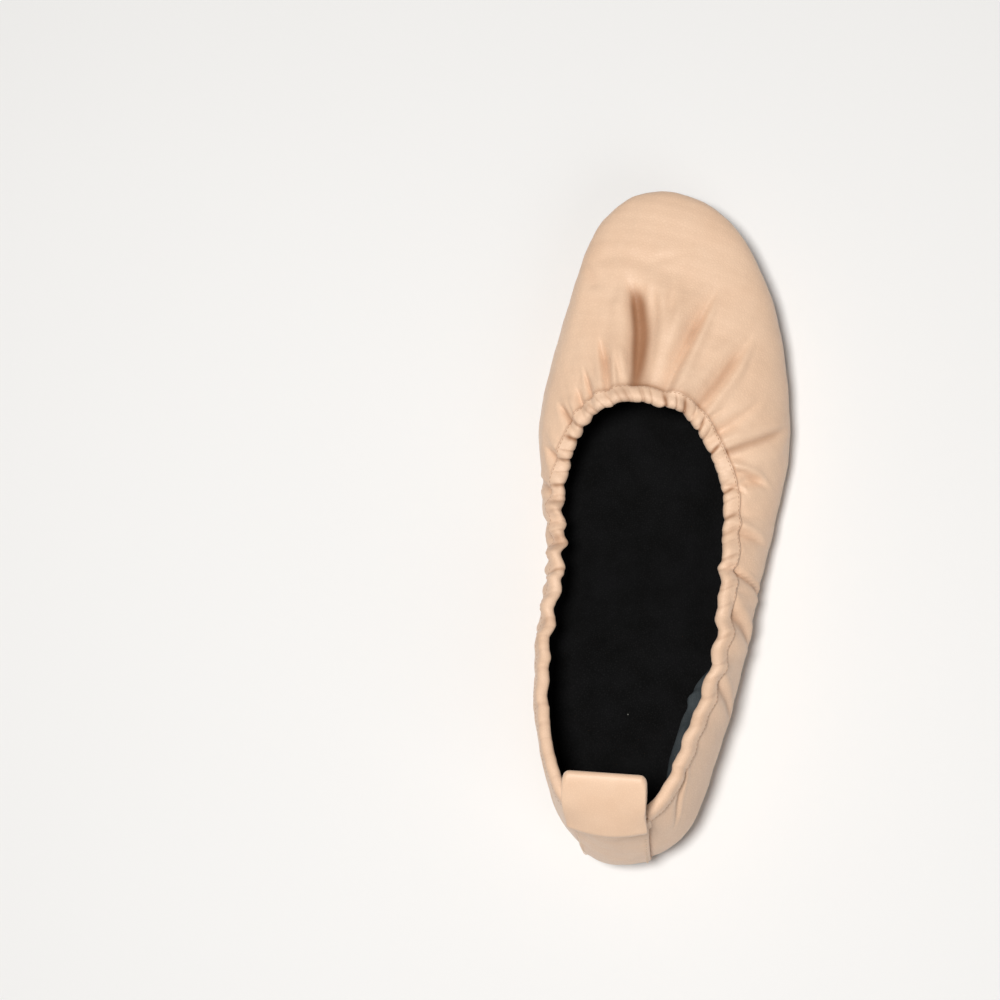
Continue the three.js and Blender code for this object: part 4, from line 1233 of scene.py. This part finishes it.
def build_bottom(columns):
    """Outsole, heel lift, foam and sock: sheets with rounded edges."""
    outsole = slab(whole_outline(0.0, columns), lambda x, y: tread_height(y), sole_level(0), 0.45, 24)
    add_piece("outsole_leather", make_mesh("outsole", *outsole), "sole_leather", "outsole")
    lift = lift_outline(0.4, LIFT_SPLIT_Y + GAP, LIFT_BREAST_Y, 40)
    lift = slab(lift, level(0), level(LIFT_HEIGHT), 0.3, 14)
    add_piece("heel_lift_leather_stack", make_mesh("lift", *lift), "lift_leather", "heel_lift_leather")
    rubber = lift_outline(0.4, None, LIFT_SPLIT_Y, 60)
    rubber = slab(rubber, level(0), level(LIFT_HEIGHT), 0.35, 14)
    add_piece("heel_lift_rubber_tip", make_mesh("rubber", *rubber), "lift_rubber", "heel_lift_rubber")
    sock = slab(sock_outline(columns), sole_level(SOCK_BASE), sock_top, 0.35, 40)
    add_piece("sock_lining_leather", make_mesh("sock", *sock), "sock_leather", "sock_lining")
    foam = slab(
        whole_outline(SOCK_INSET, columns),
        sole_level(FOAM_BASE),
        sole_level(FOAM_BASE + FOAM_THICKNESS),
        0.6,
        30,
    )
    piece = add_piece("sock_foam_pad", make_mesh("foam", *foam), "sock_foam", "sock_foam")


# ---- Stitching ----------------------------------------------------------------------------------


def stitch_tree(material):
    """Geometry Nodes tree: stitches along a guide line, standing on the surface under it."""
    tree = bpy.data.node_groups.new("stitch row", "GeometryNodeTree")
    tree.interface.new_socket("Geometry", in_out="INPUT", socket_type="NodeSocketGeometry")
    for name, default in (("Pitch", 0.0015), ("Length", 0.0011), ("Thickness", 0.0003), ("Slant", 0.0)):
        tree.interface.new_socket(name, in_out="INPUT", socket_type=FLOAT).default_value = default
    tree.interface.new_socket("Seed", in_out="INPUT", socket_type="NodeSocketInt").default_value = 3
    tree.interface.new_socket("Geometry", in_out="OUTPUT", socket_type="NodeSocketGeometry")
    t = Tree(tree)
    entry, leave = t.add("NodeGroupInput"), t.add("NodeGroupOutput")
    line = t.add("GeometryNodeMeshToCurve", None, Mesh=entry.outputs["Geometry"])
    even = t.add("GeometryNodeResampleCurve", {"mode": "LENGTH"}, Curve=line.outputs[0])
    t.feed(even, "Length", entry.outputs["Pitch"])
    outward = t.add("GeometryNodeInputNamedAttribute", {"data_type": "FLOAT_VECTOR"}, Name="outward")
    tangent = t.add("GeometryNodeInputTangent")
    axes = t.add("FunctionNodeAxesToRotation", {"primary_axis": "Z", "secondary_axis": "X"})
    t.feed(axes, "i0", outward.outputs["Attribute"])
    t.feed(axes, "i1", tangent.outputs[0])
    jitter = t.add("FunctionNodeRandomValue", {"data_type": "FLOAT"})
    for key, value in (("i2", -0.12), ("i3", 0.12), ("i8", entry.outputs["Seed"])):
        t.feed(jitter, key, value)
    swing = t.math("ADD", entry.outputs["Slant"], jitter.outputs[1])
    angle = t.add("ShaderNodeCombineXYZ", None, Z=swing)
    local = t.add("FunctionNodeRotateRotation", {"rotation_space": "LOCAL"})
    turned = t.add("FunctionNodeEulerToRotation", None, i0=angle.outputs[0])
    t.feed(local, "i0", axes.outputs[0])
    t.feed(local, "i1", turned.outputs[0])
    ball = t.add("GeometryNodeMeshUVSphere", None, Segments=8, Rings=6)
    t.feed(ball, "Radius", 0.5)
    size = t.add("ShaderNodeCombineXYZ", None, X=entry.outputs["Length"])
    t.feed(size, "Y", entry.outputs["Thickness"])
    t.feed(size, "Z", entry.outputs["Thickness"])
    place = t.add("GeometryNodeInstanceOnPoints", None, Points=even.outputs[0], Instance=ball.outputs[0])
    t.feed(place, "Rotation", local.outputs[0])
    t.feed(place, "Scale", size.outputs[0])
    real = t.add("GeometryNodeRealizeInstances", None, Geometry=place.outputs[0])
    smooth = t.add("GeometryNodeSetShadeSmooth", None, Geometry=real.outputs[0])
    paint = t.add("GeometryNodeSetMaterial", None, Geometry=smooth.outputs[0], Material=material)
    t.feed(leave, "Geometry", paint.outputs[0])
    return tree


def stitch_row(name, lines, thread_name, slot, **sizes):
    """A row of stitches along guide lines, each (points, outward directions), as one plain mesh."""
    guide = bpy.data.meshes.new(name)
    points = np.concatenate([line for line, outward in lines])
    edges, first = [], 0
    for line, _ in lines:
        edges += [(first + i, first + i + 1) for i in range(len(line) - 1)]
        first += len(line)
    guide.from_pydata(points.tolist(), edges, [])
    outward = guide.attributes.new("outward", "FLOAT_VECTOR", "POINT")
    outward.data.foreach_set("vector", np.concatenate([o for _, o in lines]).astype(np.float32).ravel())
    holder = bpy.data.objects.new(name + "_guide", guide)
    bpy.context.scene.collection.objects.link(holder)
    modifier = holder.modifiers.new("stitches", "NODES")
    modifier.node_group = stitch_tree(finish(thread_name))
    for item in modifier.node_group.interface.items_tree:
        if item.in_out == "INPUT" and item.name in sizes:
            modifier[item.identifier] = sizes[item.name]
    graph = bpy.context.evaluated_depsgraph_get()
    mesh = bpy.data.meshes.new_from_object(holder.evaluated_get(graph))
    holder.modifiers.clear()
    bpy.data.objects.remove(holder)
    if len(mesh.polygons) == 0:
        raise RuntimeError(f"the stitch row {name} came out empty")
    return add_piece(name, mesh, slot, material=finish(thread_name))


def binding_stitches():
    """The row that sews the binding's outer leg down to the upper."""
    station = np.linspace(0.75, STATION_COUNT - 0.75, 1400)
    row, _ = binding_surface(station, np.full(station.shape, 0.115))
    higher, _ = binding_surface(station, np.full(station.shape, 0.05))
    lower, _ = binding_surface(station, np.full(station.shape, 0.20))
    along = np.gradient(row, axis=0)
    outward = np.cross(along, lower - higher)
    outward = outward / np.linalg.norm(outward, axis=1)[:, None]
    _, plain = wall_directions(station, np.full(station.shape, 0.95))
    outward = outward * np.sign(np.einsum("ij,ij->i", outward, plain))[:, None]
    return row - outward * 0.05 * MM, outward


def build_stitches(pitch, length, thickness):
    """Every visible row of thread."""
    stitch_row("binding_stitches", [binding_stitches()], "thread_tan", "nappa_band",
               Pitch=pitch, Length=length, Thickness=thickness)
    lines = []
    share = np.linspace(0.06, 0.83, 160)
    for side in (-1, 1):
        width = BACKSTAY_FOOT_WIDTH + (BACKSTAY_TOP_WIDTH - BACKSTAY_FOOT_WIDTH) * share
        station = station_at_reach(share, side * (width / 2 - 1.5))
        _, plain = wall_directions(station, share)
        lines.append((wall_point(station, share, -(GAP + 1.42)), plain))
    stitch_row("backstay_stitches", lines, "thread_pale", "nappa_strap",
               Pitch=1.5 * pitch, Length=1.25 * length, Thickness=0.85 * thickness, Slant=0.45)


# ---- Stage --------------------------------------------------------------------------------------


LIGHT_TARGET = (0, 0, 0.03)
KEY_PLACE, KEY_SIZE, KEY_COLOUR = (-0.10, -0.06, 1.35), 0.30, (1, 0.985, 0.96)
FILL_PLACE, FILL_SIZE = (0.9, -0.9, 1.2), 1.2


def add_area_light(name, place, size, power, colour=(1, 1, 1)):
    light = bpy.data.lights.new(name, "AREA")
    light.shape, light.size, light.energy, light.color = "DISK", size, power, colour
    holder = bpy.data.objects.new(name, light)
    bpy.context.scene.collection.objects.link(holder)
    holder.location = place
    holder.rotation_euler = (Vector(LIGHT_TARGET) - Vector(place)).to_track_quat("-Z", "Y").to_euler()


def build_stage(settings):
    """A plain pale floor, soft light from above and a camera above the shoe."""
    half = 4.0
    floor_mesh = bpy.data.meshes.new("floor")
    corners = [(-half, -half, 0), (half, -half, 0), (half, half, 0), (-half, half, 0)]
    floor_mesh.from_pydata(corners, [], [(0, 1, 2, 3)])
    floor = bpy.data.objects.new("floor", floor_mesh)
    bpy.context.scene.collection.objects.link(floor)
    material, t, shader = new_material("floor", Roughness=0.9, Specular_IOR_Level=0.1)
    cloud = t.noise(object_place(t), 3.0, 2.0, 0.5)
    t.feed(shader, "Base Color", t.mix(cloud, (0.84, 0.84, 0.84, 1), (0.87, 0.87, 0.87, 1)))
    floor_mesh.materials.append(material)

    world = bpy.data.worlds.new("studio")
    world.use_nodes = True
    background = world.node_tree.nodes["Background"]
    background.inputs["Color"].default_value = (1, 0.99, 0.98, 1)
    background.inputs["Strength"].default_value = settings.ambient
    bpy.context.scene.world = world
    add_area_light("key", KEY_PLACE, KEY_SIZE, settings.key_power, KEY_COLOUR)
    add_area_light("fill", FILL_PLACE, FILL_SIZE, settings.fill_power)

    camera = bpy.data.cameras.new("camera")
    camera.lens, camera.sensor_width = settings.lens, 36
    camera.clip_start, camera.clip_end = 0.01, 20
    holder = bpy.data.objects.new("camera", camera)
    bpy.context.scene.collection.objects.link(holder)
    turns = zip((settings.camera_pan, settings.camera_tilt, settings.camera_roll), "YXZ")
    turn = Matrix.Identity(3)
    for angle, axis in turns:
        turn = turn @ Matrix.Rotation(angle, 3, axis)
    holder.matrix_world = Matrix.Translation(settings.camera_place) @ turn.transposed().to_4x4()
    bpy.context.scene.camera = holder
    bpy.context.scene.view_settings.view_transform = "Standard"


# ---- Add-on -------------------------------------------------------------------------------------


class SlipperShape(bpy.types.PropertyGroup):
    """How finely the slipper's pieces are made, and its stitches' sizes."""

    columns: bpy.props.IntProperty(
        name="Columns", description="Columns of the upper between two stations",
        default=32, min=8, max=40,
    )
    rows: bpy.props.IntProperty(
        name="Rows", description="Rows of the upper from feather edge to topline",
        default=104, min=20, max=110,
    )
    stitch_pitch: bpy.props.FloatProperty(
        name="Stitch pitch", description="Distance between stitches of the binding",
        default=0.0016, unit="LENGTH", subtype="DISTANCE",
    )
    stitch_length: bpy.props.FloatProperty(
        name="Stitch length", description="Length of one stitch",
        default=0.0011, unit="LENGTH", subtype="DISTANCE",
    )
    thread: bpy.props.FloatProperty(
        name="Thread", description="Thickness of the sewing thread",
        default=0.0003, unit="LENGTH", subtype="DISTANCE",
    )


class SlipperStage(bpy.types.PropertyGroup):
    """Camera and lights."""

    lens: bpy.props.FloatProperty(name="Lens", description="Focal length", default=86.5, unit="CAMERA")
    camera_place: bpy.props.FloatVectorProperty(
        name="Camera place", description="Where the camera stands", default=(0.06886, -0.096, 0.9),
        size=3, unit="LENGTH", subtype="TRANSLATION",
    )
    camera_tilt: bpy.props.FloatProperty(
        name="Tilt", description="Turn about the view's width",
        default=math.radians(-7.046), subtype="ANGLE",
    )
    camera_pan: bpy.props.FloatProperty(
        name="Pan", description="Turn about the view's height",
        default=math.radians(-7.865), subtype="ANGLE",
    )
    camera_roll: bpy.props.FloatProperty(
        name="Roll", description="Turn about the line of sight",
        default=math.radians(-3.028), subtype="ANGLE",
    )
    key_power: bpy.props.FloatProperty(
        name="Key light", description="Power of the light from above", default=17.0, unit="POWER"
    )
    fill_power: bpy.props.FloatProperty(
        name="Fill light", description="Power of the light from behind the heel", default=3.6, unit="POWER"
    )
    ambient: bpy.props.FloatProperty(
        name="Ambient", description="Strength of the light from all round", default=0.09
    )


class PieceOperator:
    """What the operators share: they run on the scene's own settings."""

    bl_options = {"REGISTER", "UNDO"}

    def execute(self, context):
        self.build(context.scene.slipper_shape)
        return {"FINISHED"}


class SLIPPER_OT_upper(PieceOperator, bpy.types.Operator):
    """Make the pull loop, bent back from the heel at the topline"""

    bl_idname = "slipper.upper"
    bl_label = "Upper"

    def build(self, shape):
        build_upper(shape.columns, shape.rows)


class SLIPPER_OT_linings(PieceOperator, bpy.types.Operator):
    """Make the linings of the vamp and the quarter"""

    bl_idname = "slipper.linings"
    bl_label = "Linings"

    def build(self, shape):
        build_linings()


class SLIPPER_OT_binding(PieceOperator, bpy.types.Operator):
    """Make the gathered binding and the elastic inside it"""

    bl_idname = "slipper.binding"
    bl_label = "Binding and elastic"

    def build(self, shape):
        build_binding(2 * shape.columns)
        build_elastic(shape.columns)


class SLIPPER_OT_backstay(PieceOperator, bpy.types.Operator):
    """Make the strip down the back of the heel"""

    bl_idname = "slipper.backstay"
    bl_label = "Backstay"

    def build(self, shape):
        build_backstay(BACKSTAY_COLUMNS, BACKSTAY_ROWS)


class SLIPPER_OT_pull_loop(PieceOperator, bpy.types.Operator):
    """Make the pull loop, which bends at the topline"""

    bl_idname = "slipper.pull_loop"
    bl_label = "Pull loop"

    def build(self, shape):
        build_pull_loop(LOOP_AROUND, LOOP_ACROSS)


class SLIPPER_OT_bottom(PieceOperator, bpy.types.Operator):
    """Make the outsole, the heel lift, the foam and the sock"""

    bl_idname = "slipper.bottom"
    bl_label = "Bottom"

    def build(self, shape):
        build_bottom(720)


class SLIPPER_OT_stitches(PieceOperator, bpy.types.Operator):
    """Sew the rows of thread"""

    bl_idname = "slipper.stitches"
    bl_label = "Stitches"

    def build(self, shape):
        build_stitches(shape.stitch_pitch, shape.stitch_length, shape.thread)


# Nodes of the frame that stay as they are and take a better finish: name start and slot
KEPT_NODES = {
    "toe_puff": "stiffener",
    "heel_counter": "stiffener",
    "insole_board": "insole_fibre",
    "bottom_filler": "cork",
    "shank": "shank_steel",
    "heel_nail_": "nail_brass",
}


class SLIPPER_OT_inner_parts(PieceOperator, bpy.types.Operator):
    """Finish the stiffeners, board, filler, shank and nails inside the shoe"""

    bl_idname = "slipper.inner_parts"
    bl_label = "Inner parts"

    def build(self, shape):
        for name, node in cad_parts.items():
            for start, slot in KEPT_NODES.items():
                if name.startswith(start):
                    node.data.materials.clear()
                    node.data.materials.append(finish(slot))


class SLIPPER_OT_stage(bpy.types.Operator):
    """Set up the floor, the lights and the camera"""

    bl_idname = "slipper.stage"
    bl_label = "Stage"

    def execute(self, context):
        build_stage(context.scene.slipper_stage)
        return {"FINISHED"}


OPERATORS = [
    SLIPPER_OT_stage,
    SLIPPER_OT_upper,
    SLIPPER_OT_linings,
    SLIPPER_OT_binding,
    SLIPPER_OT_backstay,
    SLIPPER_OT_pull_loop,
    SLIPPER_OT_bottom,
    SLIPPER_OT_stitches,
    SLIPPER_OT_inner_parts,
]


class SLIPPER_PT_panel(bpy.types.Panel):
    """Lists the steps that build the slipper"""

    bl_idname = "SLIPPER_PT_panel"
    bl_label = "Slipper"
    bl_space_type = "VIEW_3D"
    bl_region_type = "UI"
    bl_category = "Slipper"

    def draw(self, context):
        for group in (context.scene.slipper_shape, context.scene.slipper_stage):
            for name in group.__annotations__:
                self.layout.prop(group, name)
        for operator in OPERATORS:
            self.layout.operator(operator.bl_idname)


CLASSES = [SlipperShape, SlipperStage, *OPERATORS, SLIPPER_PT_panel]


def register():
    for cls in CLASSES:
        bpy.utils.register_class(cls)
    bpy.types.Scene.slipper_shape = bpy.props.PointerProperty(type=SlipperShape)
    bpy.types.Scene.slipper_stage = bpy.props.PointerProperty(type=SlipperStage)


def unregister():
    del bpy.types.Scene.slipper_stage
    del bpy.types.Scene.slipper_shape
    for cls in reversed(CLASSES):
        bpy.utils.unregister_class(cls)


def main():
    register()
    for operator in OPERATORS:
        space, name = operator.bl_idname.split(".")
        getattr(getattr(bpy.ops, space), name)()


if __name__ == "__main__":
    main()
